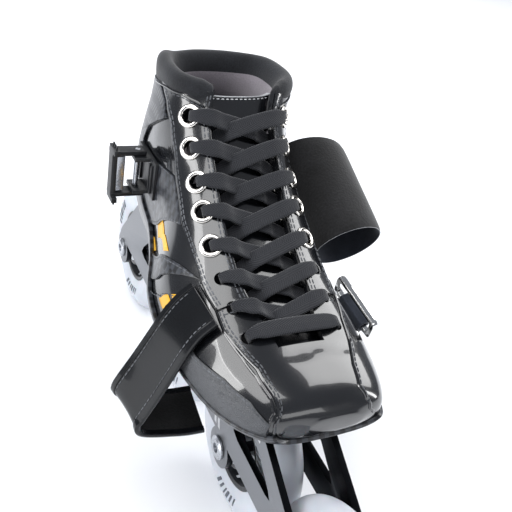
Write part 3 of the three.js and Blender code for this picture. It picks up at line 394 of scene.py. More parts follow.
def moulded_plastic(name, colour, roughness):
    # Injection-moulded nylon or ABS: spark-eroded mould texture about 0.4 mm coarse under an even dark colour.
    made, tree, shader = new_material(name, {"IOR": 1.5})
    place = add_node(tree, "ShaderNodeTexCoord").outputs["Object"]
    spark = add_node(tree, "ShaderNodeTexNoise", {"Scale": 2400.0, "Detail": 2.0}, {"Vector": place})
    cloud = add_node(tree, "ShaderNodeTexNoise", {"Scale": 90.0, "Detail": 3.0}, {"Vector": place})
    shade = add_node(tree, "ShaderNodeHueSaturation", {"Color": linear(colour)}, {"Value": add_node(
        tree, "ShaderNodeMapRange", {"To Min": 0.8, "To Max": 1.25},
        {"Value": cloud.outputs["Fac"]}).outputs["Result"]})
    rough = add_node(tree, "ShaderNodeMapRange", {"To Min": roughness * 0.8, "To Max": roughness * 1.2},
                     {"Value": cloud.outputs["Fac"]})
    tree.links.new(shade.outputs["Color"], shader.inputs["Base Color"])
    tree.links.new(rough.outputs["Result"], shader.inputs["Roughness"])
    bump = add_node(tree, "ShaderNodeBump", {"Strength": 0.25, "Distance": 0.0002},
                    {"Height": spark.outputs["Fac"]})
    tree.links.new(bump.outputs["Normal"], shader.inputs["Normal"])
    return made


FINISHES = {}


def make_finishes(colours):
    FINISHES.update({
        "patent": patent_leather("patent leather, black", colours.patent_hex, 0.4),
        "strap patent": patent_leather("patent leather, laid flat on webbing", "#070809", 0.08, 0.4),
        "carbon": carbon_weave("carbon-pattern microfibre", "#0c0d10", "#34373d"),
        "grain": grained_leather("milled leather, charcoal", "#333538"),
        "padding": napped_fabric("knitted collar lining", "#151619", "#26282d", 0.25, 0.7),
        "suede": napped_fabric("napped suede, grey", "#7c777d", "#98929a", 0.5, 0.5),
        "foam": napped_fabric("insole fabric over foam", "#26272a", "#3c3d41", 0.2, 0.6),
        "strap": napped_fabric("strap microfibre, charcoal", "#1c1f26", "#343943", 0.15, 0.4),
        "loop": napped_fabric("loop pile, black", "#0a0a0b", "#1d1d1f", 0.3, 1.2),
        "cut edge": napped_fabric("cut webbing edge", "#8c8e92", "#c4c6c9", 0.2, 0.4),
        "lace": herringbone_lace("polyester lace, herringbone", "#0e0f12", colours.lace_hex),
        "urethane": cast_urethane("cast urethane, white", "#c6cad1"),
        "print": moulded_plastic("pad-printed ink, dark grey", "#50545c", 0.5),
        "yellow": moulded_plastic("screen-printed ink, yellow", colours.accent_hex, 0.35),
        "hub": moulded_plastic("moulded nylon, black", "#15161a", 0.32),
        "spoke": moulded_plastic("moulded nylon, pale grey", "#a9adb3", 0.35),
        "plastic": moulded_plastic("moulded acetal, black", "#16181b", 0.4),
        "nickel": worked_metal("nickel-plated brass", "#ece8e2", 0.14, 500.0, 0.1),
        "chrome": worked_metal("chromed steel wire", "#f0f0ee", 0.07, 400.0, 0.05),
        "steel": worked_metal("ground steel", "#b9bcc1", 0.28, 900.0, 0.2),
        "silver": worked_metal("satin anodised aluminium", "#85878b", 0.42, 1500.0, 0.2),
        "black metal": worked_metal("black anodised aluminium", "#1b1c1f", 0.3, 1500.0, 0.15),
        "thread": napped_fabric("bonded polyester thread", "#3a3c40", "#74777c", 0.2, 0.3),
        "white thread": napped_fabric("bonded thread, white", "#b9bbbf", "#e4e5e8", 0.2, 0.3),
    })


# ------------------------------------------------------------------ mesh helpers
def calm():
    if bpy.context.mode != "OBJECT":
        bpy.ops.object.mode_set(mode="OBJECT")
    bpy.ops.object.select_all(action="DESELECT")


def only(piece):
    calm()
    piece.select_set(True)
    bpy.context.view_layer.objects.active = piece


def linked(name, data):
    piece = bpy.data.objects.new(name, data)
    bpy.context.scene.collection.objects.link(piece)
    return piece


def from_bmesh(name, made):
    mesh = bpy.data.meshes.new(name)
    made.to_mesh(mesh)
    made.free()
    return linked(name, mesh)


def mesh_object(name, vertices, faces, uv=None):
    mesh = bpy.data.meshes.new(name)
    mesh.from_pydata([tuple(v) for v in vertices], [], faces)
    if uv:
        layer = mesh.uv_layers.new(name="skin")
        for loop in mesh.loops:
            layer.data[loop.index].uv = uv[loop.vertex_index]
    mesh.update()
    return linked(name, mesh)


@contextmanager
def reworked(piece):
    """Opens a piece's mesh for editing and writes it back."""
    made = bmesh.new()
    made.from_mesh(piece.data)
    yield made
    made.to_mesh(piece.data)
    made.free()


def face_out(piece, weld=True):
    with reworked(piece) as made:
        if weld:
            bmesh.ops.remove_doubles(made, verts=made.verts, dist=1e-6)
            bmesh.ops.dissolve_degenerate(made, edges=made.edges, dist=1e-7)
        bmesh.ops.recalc_face_normals(made, faces=made.faces)
        if made.calc_volume(signed=True) < 0:
            bmesh.ops.reverse_faces(made, faces=made.faces)


def loft_faces(rows, count, start=0):
    """Faces of a closed loft through rows of count points each, with a cap on both ends."""
    faces = []
    for i in range(rows - 1):
        for k in range(count):
            a, b = start + i * count + k, start + i * count + (k + 1) % count
            faces.append((a, b, b + count, a + count))
    end = start + (rows - 1) * count
    return faces + [tuple(range(start + count - 1, start - 1, -1)), tuple(range(end, end + count))]


def apply_modifier(piece, kind, **settings):
    only(piece)
    modifier = piece.modifiers.new(kind.lower(), kind)
    for key, value in settings.items():
        setattr(modifier, key, value)
    bpy.ops.object.modifier_apply(modifier=modifier.name)


def round_edges(piece, width, segments=2, angle=35):
    apply_modifier(piece, "BEVEL", width=width * MM, segments=segments, limit_method="ANGLE",
                   angle_limit=math.radians(angle), use_clamp_overlap=True)


def smooth(piece, angle=35):
    only(piece)
    bpy.ops.object.shade_smooth_by_angle(angle=math.radians(angle))


def refinish(finish, *names):
    """Gives nodes that stay as they are their finish."""
    for name in names:
        NODES[name].data.materials.clear()
        NODES[name].data.materials.append(FINISHES[finish])


def settle(piece, finish, body="skate_body", nodes=(), angle=35):
    """Gives a finished piece its shading, its finish, the body it moves with and the nodes it stands for."""
    for name in ([finish] if isinstance(finish, str) else finish):
        piece.data.materials.append(FINISHES[name])
    smooth(piece, angle)
    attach(piece, body)
    if nodes:
        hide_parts(*nodes)
    return piece


def printed(name, vertices, faces, thickness, finish, body):
    """A printed layer: flat quads turned away from the skate's middle plane, with a thickness."""
    piece = mesh_object(name, vertices, faces)
    with reworked(piece) as made:
        for face in made.faces:
            if face.normal.x * (face.calc_center_median().x - MIDDLE_X) < 0:
                face.normal_flip()
    apply_modifier(piece, "SOLIDIFY", thickness=thickness * MM, offset=-1.0)
    return settle(piece, finish, body)


def slab(name, outer, inner, uv_outer=None, ring=False):
    """One closed body between two grids of points of the same size. A ring's columns join up."""
    rows, columns = len(outer), len(outer[0])
    points = [p for row in outer for p in row] + [p for row in inner for p in row]
    uv = [c for row in uv_outer for c in row] * 2 if uv_outer else None
    faces = []

    def at(layer, i, j):
        return layer * rows * columns + i * columns + j % columns

    last = columns if ring else columns - 1
    for i in range(rows - 1):
        for j in range(last):
            faces.append((at(0, i, j), at(0, i, j + 1), at(0, i + 1, j + 1), at(0, i + 1, j)))
            faces.append((at(1, i, j), at(1, i + 1, j), at(1, i + 1, j + 1), at(1, i, j + 1)))
        if not ring:
            faces.append((at(0, i, 0), at(0, i + 1, 0), at(1, i + 1, 0), at(1, i, 0)))
            faces.append((at(0, i, last), at(1, i, last), at(1, i + 1, last), at(0, i + 1, last)))
    for j in range(last):
        faces.append((at(0, 0, j), at(1, 0, j), at(1, 0, j + 1), at(0, 0, j + 1)))
        end = rows - 1
        faces.append((at(0, end, j), at(0, end, j + 1), at(1, end, j + 1), at(1, end, j)))
    piece = mesh_object(name, points, faces, uv)
    face_out(piece)
    return piece


def skin_slab(name, rows, angles_of, top, low, ring=False):
    """A wall of the skin between two depths, which may be numbers or functions of station and angle."""
    def depth(value, t, a):
        return value(t, a) if callable(value) else value
    grid = [(t, angles_of(t)) for t in rows]
    outer = [[skin(t, a, depth(top, t, a)) for a in angles] for t, angles in grid]
    inner = [[skin(t, a, depth(low, t, a)) for a in angles] for t, angles in grid]
    uv = [[skin_uv(t, a) for a in angles] for t, angles in grid]
    return slab(name, outer, inner, uv, ring)


def skin_patch(name, corners, lift, thickness, step_t=0.12, step_a=2.5):
    """A panel on the skin, cut to a convex outline of (station, degrees) corners."""
    ts, angles = [c[0] for c in corners], [c[1] for c in corners]
    across, down = max(ts) - min(ts), max(angles) - min(angles)
    made = bmesh.new()
    bmesh.ops.create_grid(made, x_segments=max(2, int(across / step_t)), y_segments=max(2, int(down / step_a)),
                          size=0.5)
    for v in made.verts:
        v.co.x = min(ts) + (v.co.x + 0.5) * across
        v.co.y = min(angles) + (v.co.y + 0.5) * down
    turn = sum(a[0] * b[1] - b[0] * a[1] for a, b in zip(corners, corners[1:] + corners[:1]))
    for a, b in zip(corners, corners[1:] + corners[:1]):
        edge = Vector((b[0] - a[0], b[1] - a[1], 0))
        outward = Vector((edge.y, -edge.x, 0)) * (1 if turn > 0 else -1)
        bmesh.ops.bisect_plane(made, geom=made.verts[:] + made.edges[:] + made.faces[:], dist=1e-5,
                               plane_co=Vector((a[0], a[1], 0)), plane_no=outward, clear_outer=True)
    bmesh.ops.remove_doubles(made, verts=made.verts, dist=0.004)
    layer = made.loops.layers.uv.new("skin")
    for face in made.faces:
        for loop in face.loops:
            loop[layer].uv = skin_uv(loop.vert.co.x, loop.vert.co.y)
    for v in made.verts:
        v.co = skin(v.co.x, v.co.y, lift - thickness)
    bmesh.ops.recalc_face_normals(made, faces=made.faces)
    largest = max(made.faces, key=lambda f: f.calc_area())
    if largest.normal.dot(skin_out(sum(ts) / len(ts), sum(angles) / len(angles))) < 0:
        bmesh.ops.reverse_faces(made, faces=made.faces)
    piece = from_bmesh(name, made)
    apply_modifier(piece, "SOLIDIFY", thickness=thickness * MM, offset=1.0)
    round_edges(piece, thickness * 0.42)
    return piece


def on_skin(path, lift, spacing):
    """Evenly spaced places with their outward directions along a path of (station, degrees) corners."""
    dense = []
    for (t0, a0), (t1, a1) in zip(path, path[1:]):
        steps = max(2, int(abs(t1 - t0) * 12 + abs(a1 - a0) / 2))
        dense += [(lerp(t0, t1, i / steps), lerp(a0, a1, i / steps)) for i in range(steps)]
    dense.append(path[-1])
    places = [(skin(t, a, lift), skin_out(t, a)) for t, a in dense]
    out, travelled, wanted = [], 0.0, 0.0
    for (p, n), (q, m) in zip(places, places[1:]):
        length = (q - p).length
        while length > 0 and wanted <= travelled + length:
            share = (wanted - travelled) / length
            out.append((p.lerp(q, share), n.lerp(m, share).normalized()))
            wanted += spacing * MM
        travelled += length
    return out


def stitch_row(name, lines, length=2.5, pitch=3.2, radius=0.34, finish="thread", body="skate_body", places=None):
    """Rows of sewn stitches: each one a small six-sided bead lying along the seam."""
    vertices, faces = [], []
    for places_of_line in (places if places is not None else [on_skin(path, lift, pitch) for path, lift in lines]):
        for (p, n), (q, _) in zip(places_of_line, places_of_line[1:]):
            run = (q - p)
            if run.length < 1e-6 or run.length > pitch * MM * 1.8:
                continue
            run.normalize()
            side = n.cross(run).normalized()
            start = len(vertices)
            for share, thick in ((0.0, 0.35), (0.2, 1.0), (0.8, 1.0), (1.0, 0.35)):
                for k in range(6):
                    turn = k * math.pi / 3
                    outward = side * math.cos(turn) + n * (math.sin(turn) * 0.7 + 0.1)
                    vertices.append(p + run * (share * length * MM) + outward * (radius * thick * MM))
            faces += loft_faces(4, 6, start)
    piece = mesh_object(name, vertices, faces)
    face_out(piece, weld=False)
    return settle(piece, finish, body, angle=60)


def tube(name, places, radius, sides=8):
    """A closed tube along places with outward directions, thinner at its two ends."""
    vertices = []
    for i, (p, n) in enumerate(places):
        before, after = places[max(i - 1, 0)][0], places[min(i + 1, len(places) - 1)][0]
        run = (after - before).normalized()
        side = n.cross(run).normalized()
        up = run.cross(side)
        thick = radius * (0.4 if i in (0, len(places) - 1) else 1.0)
        for k in range(sides):
            turn = k * 2 * math.pi / sides
            vertices.append(p + (side * math.cos(turn) + up * math.sin(turn)) * (thick * MM))
    piece = mesh_object(name, vertices, loft_faces(len(places), sides))
    face_out(piece)
    return piece


def welt(name, path, lift, radius, finish):
    return settle(tube(name, on_skin(path, lift, 1.2), radius), finish)


def spun(name, profile, centre, steps=64):
    """A body of revolution about a line along X: the profile lists (radius, x) and closes on itself."""
    vertices, faces, uv = [], [], []
    count = len(profile)
    for i in range(steps):
        turn = i * 2 * math.pi / steps
        for r, x in profile:
            vertices.append(centre + Vector((x * MM, math.cos(turn) * r * MM, math.sin(turn) * r * MM)))
            uv.append((turn, r * MM))
    for i in range(steps):
        for k in range(count):
            a, b = i * count + k, i * count + (k + 1) % count
            c, d = (i + 1) % steps * count + (k + 1) % count, (i + 1) % steps * count + k
            faces.append((a, b, c, d))
    piece = mesh_object(name, vertices, faces, uv)
    face_out(piece)
    return piece


def bevelled_copy(name, node, width, segments=2, angle=30):
    """The node's own shape with its doubles merged and its sharp edges broken."""
    piece = linked(name, NODES[node].data.copy())
    piece.data.materials.clear()
    with reworked(piece) as made:
        bmesh.ops.remove_doubles(made, verts=made.verts, dist=2e-5)
        bmesh.ops.dissolve_limit(made, verts=made.verts, edges=made.edges, angle_limit=math.radians(1.0))
    round_edges(piece, width, segments, angle)
    return piece


# ------------------------------------------------------------------ sizes and colours a user may change
class SkateSizes(bpy.types.PropertyGroup):
    lace_width: bpy.props.FloatProperty(name="Lace width", description="Width of the flat lace over the throat",
                                        default=0.0088, unit="LENGTH")
    lace_thickness: bpy.props.FloatProperty(name="Lace thickness", description="Thickness of the lace",
                                            default=0.0013, unit="LENGTH")
    eyelet_radius: bpy.props.FloatProperty(name="Eyelet radius", description="Outer radius of a metal eyelet",
                                           default=0.0062, unit="LENGTH")
    eyelet_bore: bpy.props.FloatProperty(name="Eyelet bore", description="Radius of the hole in a metal eyelet",
                                         default=0.0037, unit="LENGTH")
    pad_height: bpy.props.FloatProperty(name="Collar pad height",
                                        description="How far the collar pad stands over the rim", default=0.0046,
                                        unit="LENGTH")
    strap_thickness: bpy.props.FloatProperty(name="Strap thickness", description="Thickness of both straps",
                                             default=0.002, unit="LENGTH")


class SkateColours(bpy.types.PropertyGroup):
    patent_hex: bpy.props.StringProperty(name="Patent", description="sRGB hex colour of the patent leather",
                                         default="#0b0c0e")
    accent_hex: bpy.props.StringProperty(name="Accent", description="sRGB hex colour of the printed bars",
                                         default="#e0a92a")
    lace_hex: bpy.props.StringProperty(name="Lace", description="sRGB hex colour of the lace's upper threads",
                                       default="#2d2f35")
    floor: bpy.props.FloatVectorProperty(name="Floor", description="Colour of the floor", subtype="COLOR", size=3,
                                         default=(0.86, 0.88, 0.92))


# ------------------------------------------------------------------ stage
LENS_MM = 48.303
LENS_SHIFT = 0.043
NEAREST_SEEN = 0.01
FLOOR_WIDTH = 14.0
FLOOR_CLOUD = 3.0
FLOOR_PALE = (0.94, 0.945, 0.955, 1)
SKY_COLOUR = (0.86, 0.9, 1.0, 1)
SKY_STRENGTH = 0.28
LIT_POINT = Vector((0, -0.02, 0.14))
CAMERA_RIGHT = Vector((0.89837, -0.4012, 0.17881))
CAMERA_UP = Vector((0.09978, 0.58284, 0.80644))
CAMERA_VIEW = Vector((0.42776, 0.70664, -0.56363))
CAMERA_PLACE = Vector((-0.15831, -0.27679, 0.3479))
SOFTBOXES = [
    # name, direction from the boot, distance, width, height, power in watts
    ("softbox_right", Vector((0.70, 0.10, 0.71)), 2.2, 1.1, 1.8, 30.0),
    ("softbox_over", Vector((-0.39, -0.10, 0.91)), 2.3, 2.0, 1.5, 38.0),
    ("softbox_left", Vector((-0.88, 0.03, 0.47)), 2.3, 0.65, 1.7, 27.0),
    ("softbox_front", Vector((0.15, -0.95, 0.30)), 2.6, 1.8, 0.7, 9.0),
    ("softbox_rear", Vector((0.10, 0.80, 0.75)), 2.4, 1.6, 0.8, 16.0),
    ("strip_left", Vector((-0.99, -0.14, 0.03)), 2.2, 0.6, 0.3, 8.5),
    ("strip_right", Vector((0.93, -0.34, 0.30)), 2.2, 0.25, 1.0, 8.0),
]


class SKATE_OT_stage(bpy.types.Operator):
    """Makes the camera, the pale floor and the soft lights"""
    bl_idname = "skate.stage"
    bl_label = "Stage"

    def execute(self, context):
        scene = context.scene
        camera = linked("camera", bpy.data.cameras.new("camera"))
        r, u, f, c = CAMERA_RIGHT, CAMERA_UP, CAMERA_VIEW, CAMERA_PLACE
        camera.matrix_world = Matrix(((r.x, u.x, -f.x, c.x), (r.y, u.y, -f.y, c.y), (r.z, u.z, -f.z, c.z),
                                      (0, 0, 0, 1)))
        camera.data.lens = LENS_MM
        camera.data.shift_y = LENS_SHIFT
        camera.data.clip_start = NEAREST_SEEN
        scene.camera = camera
        scene.view_settings.view_transform = "Standard"

        calm()
        bpy.ops.mesh.primitive_plane_add(size=FLOOR_WIDTH, location=(0, 0, 0))
        floor = context.object
        floor.name = "floor"
        # Painted floor: a matt, nearly even white with a cool cast.
        made, tree, shader = new_material("painted floor", {"Roughness": 0.85, "Specular IOR Level": 0.2})
        place = add_node(tree, "ShaderNodeTexCoord").outputs["Object"]
        cloud = add_node(tree, "ShaderNodeTexNoise", {"Scale": FLOOR_CLOUD}, {"Vector": place})
        pale = tuple(scene.skate_colours.floor) + (1.0,)
        tint = add_node(tree, "ShaderNodeMix", {"data_type": "RGBA", 6: pale, 7: FLOOR_PALE},
                        {0: cloud.outputs["Fac"]})
        tree.links.new(tint.outputs[2], shader.inputs["Base Color"])
        floor.data.materials.append(made)

        for name, toward, distance, width, height, power in SOFTBOXES:
            light = bpy.data.lights.new(name, "AREA")
            light.shape = "RECTANGLE"
            light.size, light.size_y, light.energy = width, height, power
            holder = linked(name, light)
            holder.location = LIT_POINT + toward.normalized() * distance
            holder.rotation_euler = (-toward).to_track_quat("-Z", "Y").to_euler()
        world = bpy.data.worlds.new("studio")
        world.use_nodes = True
        sky = world.node_tree.nodes["Background"].inputs
        sky["Color"].default_value = SKY_COLOUR
        sky["Strength"].default_value = SKY_STRENGTH
        scene.world = world
        return {"FINISHED"}


# ------------------------------------------------------------------ wheels
TYRE_HALF = 12
TREAD_ROUND = 13
TREAD_CENTRE = 37
TYRE_SEAT = [(27.2, 9.3), (29.5, 10.4)]
HUB_RIM = [(24.2, -9.0), (26.0, -9.7), (27.1, -9.7), (27.1, 9.7), (26.0, 9.7), (24.2, 9.0)]
HUB_BARREL = [(11.3, -11.8), (13.2, -12.0), (14.4, -11.0), (14.4, 11.0), (13.2, 12.0), (11.3, 11.8)]
SPOKE_INNER, SPOKE_OUTER = 13.6, 25.2
SPOKE_SWEEP = 0.34
RAIL_HALF = 19.5
TYRE_PRINT = 0.2
BARS_IN_GROUP = 6


class SKATE_OT_wheels(bpy.types.Operator):
    """Turns the tyres, builds the spoked hubs and finishes the bearings and axles"""
    bl_idname = "skate.wheels"
    bl_label = "Wheels"

    def execute(self, context):
        radius = WHEEL_RADIUS / MM
        tread = [(radius - TREAD_ROUND + TREAD_ROUND * math.cos(a), TYRE_HALF * math.sin(a))
                 for a in [math.radians(d) for d in range(-90, 91, 9)]]
        tyre = [(r, -x) for r, x in TYRE_SEAT] + [(max(r, 31.0), x) for r, x in tread] + TYRE_SEAT[::-1]
        for n, y in enumerate(AXLES, 1):
            centre = Vector((MIDDLE_X, y, AXLE_Z))
            body = "wheel_%d" % n
            piece = spun("tyre_skin_%d" % n, tyre, centre, 96)
            settle(piece, "urethane", body, ["tyre_%d" % n], 50)
            self.marks(n, centre, body)
            self.hub(n, centre, body)
            self.axle(n, centre)
        refinish("steel", *(name for name in NODES if name.startswith(("bearing", "spacer"))))
        return {"FINISHED"}

    def marks(self, n, centre, body):
        """Slanted bars printed on both sides of the tyre: a plain pattern, not lettering."""
        vertices, faces = [], []
        for side in (-1, 1):
            for group in range(3):
                for bar in range(BARS_IN_GROUP):
                    turn = group * 2 * math.pi / 3 + bar * 0.115
                    wide = 0.036 + 0.016 * (bar % 3)
                    start = len(vertices)
                    for r, slant in ((33.2, 0.0), (35.6, 0.03), (38.2, 0.06)):
                        depth = TYRE_HALF * math.sin(math.acos(max(-1,
                                min(1, (r - TREAD_CENTRE) / TREAD_ROUND)))) + 0.12
                        for edge in (0.0, wide):
                            a = turn + slant + edge
                            vertices.append(centre + Vector((side * depth * MM, math.cos(a) * r * MM,
                                                             math.sin(a) * r * MM)))
                    faces += [(start + k, start + k + 1, start + k + 3, start + k + 2) for k in (0, 2)]
        printed("tyre_marks_%d" % n, vertices, faces, TYRE_PRINT, "print", body)

    def hub(self, n, centre, body):
        rim = spun("hub_rim_%d" % n, HUB_RIM, centre, 72)
        round_edges(rim, 0.4)
        settle(rim, "hub", body, ["hub_%d" % n])
        barrel = spun("hub_barrel_%d" % n, HUB_BARREL, centre, 56)
        round_edges(barrel, 0.4)
        settle(barrel, "hub", body)
        vertices, faces = [], []
        rows = along(0, 1, 6)
        for s in range(SPOKES):
            base = s * 2 * math.pi / SPOKES
            start = len(vertices)
            for f in rows:
                r = lerp(SPOKE_INNER, SPOKE_OUTER, f)
                turn = base + SPOKE_SWEEP * f * f
                half_wide = lerp(2.1, 1.1, f)
                half_deep = lerp(9.0, 7.0, f) - 2.2 * math.sin(math.pi * f)
                radial = Vector((0, math.cos(turn), math.sin(turn)))
                across = Vector((0, -math.sin(turn), math.cos(turn)))
                for x, w in ((-half_deep, -half_wide), (half_deep, -half_wide), (half_deep, half_wide),
                             (-half_deep, half_wide)):
                    vertices.append(centre + (radial * r + across * w + Vector((x, 0, 0))) * MM)
            faces += loft_faces(len(rows), 4, start)
        spokes = mesh_object("hub_spokes_%d" % n, vertices, faces)
        face_out(spokes)
        round_edges(spokes, 0.45)
        settle(spokes, "spoke", body)

    def axle(self, n, centre):
        head = -(RAIL_HALF + 0.3)
        profile = [(0.001, head - 0.6), (2.9, head - 0.6), (2.9, head - 1.9), (5.6, head - 2.1), (7.0, head - 1.1),
                   (7.0, head), (3.7, head), (3.7, RAIL_HALF), (3.1, RAIL_HALF + 0.5), (0.001, RAIL_HALF + 0.5)]
        bolt = spun("axle_bolt_%d" % n, profile, centre, 48)
        settle(bolt, "steel", "skate_body", ["axle_%d" % n], 30)


# ------------------------------------------------------------------ frame
SILVER_FACE = 19.3
FRAME_PRINT = 0.15
FRAME_PRINT_AT = 19.62


class SKATE_OT_frame(bpy.types.Operator):
    """Breaks the frame's edges and gives it its two anodised finishes"""
    bl_idname = "skate.frame"
    bl_label = "Frame"

    def execute(self, context):
        piece = bevelled_copy("frame_rails", "frame", 0.7, 3)
        settle(piece, ["black metal", "silver"], nodes=["frame"], angle=30)
        for face in piece.data.polygons:
            outside = abs(face.center.x - MIDDLE_X) > SILVER_FACE * MM and abs(face.normal.x) > 0.8
            face.material_index = int(outside)
        # A row of short printed dashes and two slanted bars along the outer wall.
        vertices, faces = [], []
        for side in (-1, 1):
            x = MIDDLE_X + side * FRAME_PRINT_AT * MM
            for i in range(9):
                y0, z0 = -88 + i * 7.0, 94.5
                if i in (3, 6):
                    continue
                start = len(vertices)
                for y, z in ((y0, z0), (y0 + 4.2, z0), (y0 + 4.2, z0 + 1.5), (y0, z0 + 1.5)):
                    vertices.append(Vector((x, y * MM, z * MM)))
                faces.append(tuple(range(start, start + 4)))
            for i in range(2):
                y0 = -48 + i * 5.0
                start = len(vertices)
                for y, z in ((y0, 61), (y0 + 2.6, 61), (y0 + 6.6, 71.5), (y0 + 4.0, 71.5)):
                    vertices.append(Vector((x, y * MM, z * MM)))
                faces.append(tuple(range(start, start + 4)))
        printed("frame_marks", vertices, faces, FRAME_PRINT, "white thread", "skate_body")
        refinish("steel", "front_mount_bolt", "rear_mount_bolt")
        return {"FINISHED"}


# ------------------------------------------------------------------ upper
STAY_EDGE = [(5.7, 42), (5.85, 42), (6.95, 50), (7.25, 50), (8.4, 57), (8.9, 61), (10.45, 61), (12, 58),
             (13.85, 60), (14.55, 64), (15.65, 74), (16.7, 90)]
STRIP_SEAM = [(5.15, 44), (4.05, 40), (3.15, 40), (2.15, 46), (1.6, 58), (1.38, 80), (1.33, 98), (1.33, 116)]
VAMP_SEAM = [(6.95, 52), (5.85, 43), (5.15, 43), (4.3, 38.5), (3.45, 35), (2.35, 40), (1.8, 46), (1.3, 60),
             (1.1, 88), (1.1, 112)]
PANEL_TOP = [(1.35, 78), (2.5, 64), (3.75, 66), (4.95, 78), (6.4, 84)]
MEDIAL_SEAM = [(6.6, 54), (6.2, 50), (4.9, 38), (3.95, 34), (2.9, 27), (1.8, 25), (1.0, 36), (0.6, 58), (0.6, 90)]


def mirrored(path, side):
    return [(t, side * a) for t, a in path]


def eyelet_place(index, side):
    t = EYELET_ROWS[index]
    return t, angle_at(t, side * eyelet_half(t))


def seat_on_skin(t, angle, lift):
    """A matrix whose Z points out of the skin, at a height over it."""
    turn = skin_out(t, angle).to_track_quat("Z", "Y").to_matrix().to_4x4()
    turn.translation = skin(t, angle, lift)
    return turn


METAL_HOLE, PLAIN_HOLE = 4.1, 3.3
PUNCH_LENGTH = 14


def cut_holes(piece, sides):
    """Punches the lace holes with a cutter that is one mesh of all its pins."""
    made = bmesh.new()
    for side in sides:
        for i in range(len(EYELET_ROWS)):
            t, angle = eyelet_place(i, side)
            radius = (METAL_HOLE if i < METAL_ROWS else PLAIN_HOLE) * MM
            bmesh.ops.create_cone(made, cap_ends=True, segments=24, radius1=radius, radius2=radius,
                                  depth=PUNCH_LENGTH * MM, matrix=seat_on_skin(t, angle, -1))
    punches = from_bmesh("punches", made)
    apply_modifier(piece, "BOOLEAN", object=punches, operation="DIFFERENCE", solver="EXACT")
    bpy.data.objects.remove(punches)


class SKATE_OT_upper(bpy.types.Operator):
    """Lasts the patent upper: toe, sides, eyestays and sole"""
    bl_idname = "skate.upper"
    bl_label = "Upper"

    def execute(self, context):
        made = bmesh.new()
        layer = made.loops.layers.uv.new("skin")
        rows = along(0.3, 4.0, 30) + along(4.0, COLLAR, 84)[1:]
        side_steps, middle_steps = 40, 10
        keys = {}

        def vertex(t, a):
            key = (round(t, 5), round(a, 5))
            if key not in keys:
                keys[key] = made.verts.new(skin_point(t, a))
            return keys[key]

        def quad(*corners):
            verts, uvs = [], []
            for t, a in corners:
                v = vertex(t, -180.0 if a > 179.999 else a)
                if v not in verts:
                    verts.append(v)
                    uvs.append(skin_uv(t, a))
            if len(verts) > 2 and made.faces.get(verts) is None:
                face = made.faces.new(verts)
                for loop, uv in zip(face.loops, uvs):
                    loop[layer].uv = uv

        def edge_angle(t):
            return angle_at(t, throat_half(max(t, 4.0)) * smooth_step(t, -0.8, 1.2))

        for t0, t1 in zip(rows, rows[1:]):
            first, second = edge_angle(t0), edge_angle(t1)
            for side in (-1, 1):
                a0, a1 = along(first, 180, side_steps), along(second, 180, side_steps)
                for j in range(side_steps):
                    quad((t0, side * a0[j]), (t0, side * a0[j + 1]), (t1, side * a1[j + 1]), (t1, side * a1[j]))
            if t1 <= 4.0001:
                m0, m1 = along(-first, first, middle_steps), along(-second, second, middle_steps)
                for j in range(middle_steps):
                    quad((t0, m0[j]), (t0, m0[j + 1]), (t1, m1[j + 1]), (t1, m1[j]))
        # The toe's nose: rings that draw in to one point along a quarter round.
        first = edge_angle(rows[0])
        loop_angles = along(-first, first, middle_steps) + along(first, 180, side_steps)[1:] + [-a
                for a in reversed(along(first, 180, side_steps)[1:-1])]
        start_ring = [vertex(rows[0], -180.0 if a > 179.999 else a) for a in loop_angles]
        heart = sum((v.co for v in start_ring), Vector()) / len(start_ring)
        tip = Vector((heart.x, skin_point(0, 90).y, heart.z))
        ring_before = start_ring
        for share in (0.93, 0.84, 0.72, 0.58, 0.42, 0.24):
            back = 1 - math.sqrt(1 - share * share)
            ring_now = []
            for v in start_ring:
                p = heart.lerp(v.co, share)
                p.y = lerp(tip.y, v.co.y, back)
                ring_now.append(made.verts.new(p))
            for k in range(len(ring_now)):
                q = (k + 1) % len(ring_now)
                made.faces.new((ring_before[k], ring_before[q], ring_now[q], ring_now[k]))
            ring_before = ring_now
        peak = made.verts.new(tip)
        for k in range(len(ring_before)):
            made.faces.new((ring_before[k], ring_before[(k + 1) % len(ring_before)], peak))
        bmesh.ops.recalc_face_normals(made, faces=made.faces)
        if sum(f.normal.z * f.calc_area() for f in made.faces if f.calc_center_median().y < -0.08) < 0:
            bmesh.ops.reverse_faces(made, faces=made.faces)
        shell = from_bmesh("upper_shell", made)
        apply_modifier(shell, "SOLIDIFY", thickness=UPPER_WALL * MM, offset=-1.0)
        cut_holes(shell, (-1, 1))
        settle(shell, "patent", nodes=["vamp", "quarter_lateral", "quarter_medial"], angle=40)

        for side, name in ((LATERAL, "lateral"), (MEDIAL, "medial")):
            def angles(t, side=side):
                return [side * a for a in along(angle_at(t, throat_half(t)) + 0.5, through(STAY_EDGE, t), 16)]
            stay = skin_slab("eyestay_leather_%s" % name, along(5.8, 16.6, 70), angles, OVERLAY + 0.3, 0.1)
            cut_holes(stay, (side,))
            round_edges(stay, 0.45, 2, 50)
            settle(stay, "patent", nodes=["eyestay_%s" % name], angle=40)

        sole = skin_slab("sole_board", along(1, 12.05, 60), lambda t: along(102, 258, 50), 2.7, 0.2)
        round_edges(sole, 0.7, 3, 50)
        settle(sole, "carbon", nodes=["sole_shell"])
        return {"FINISHED"}


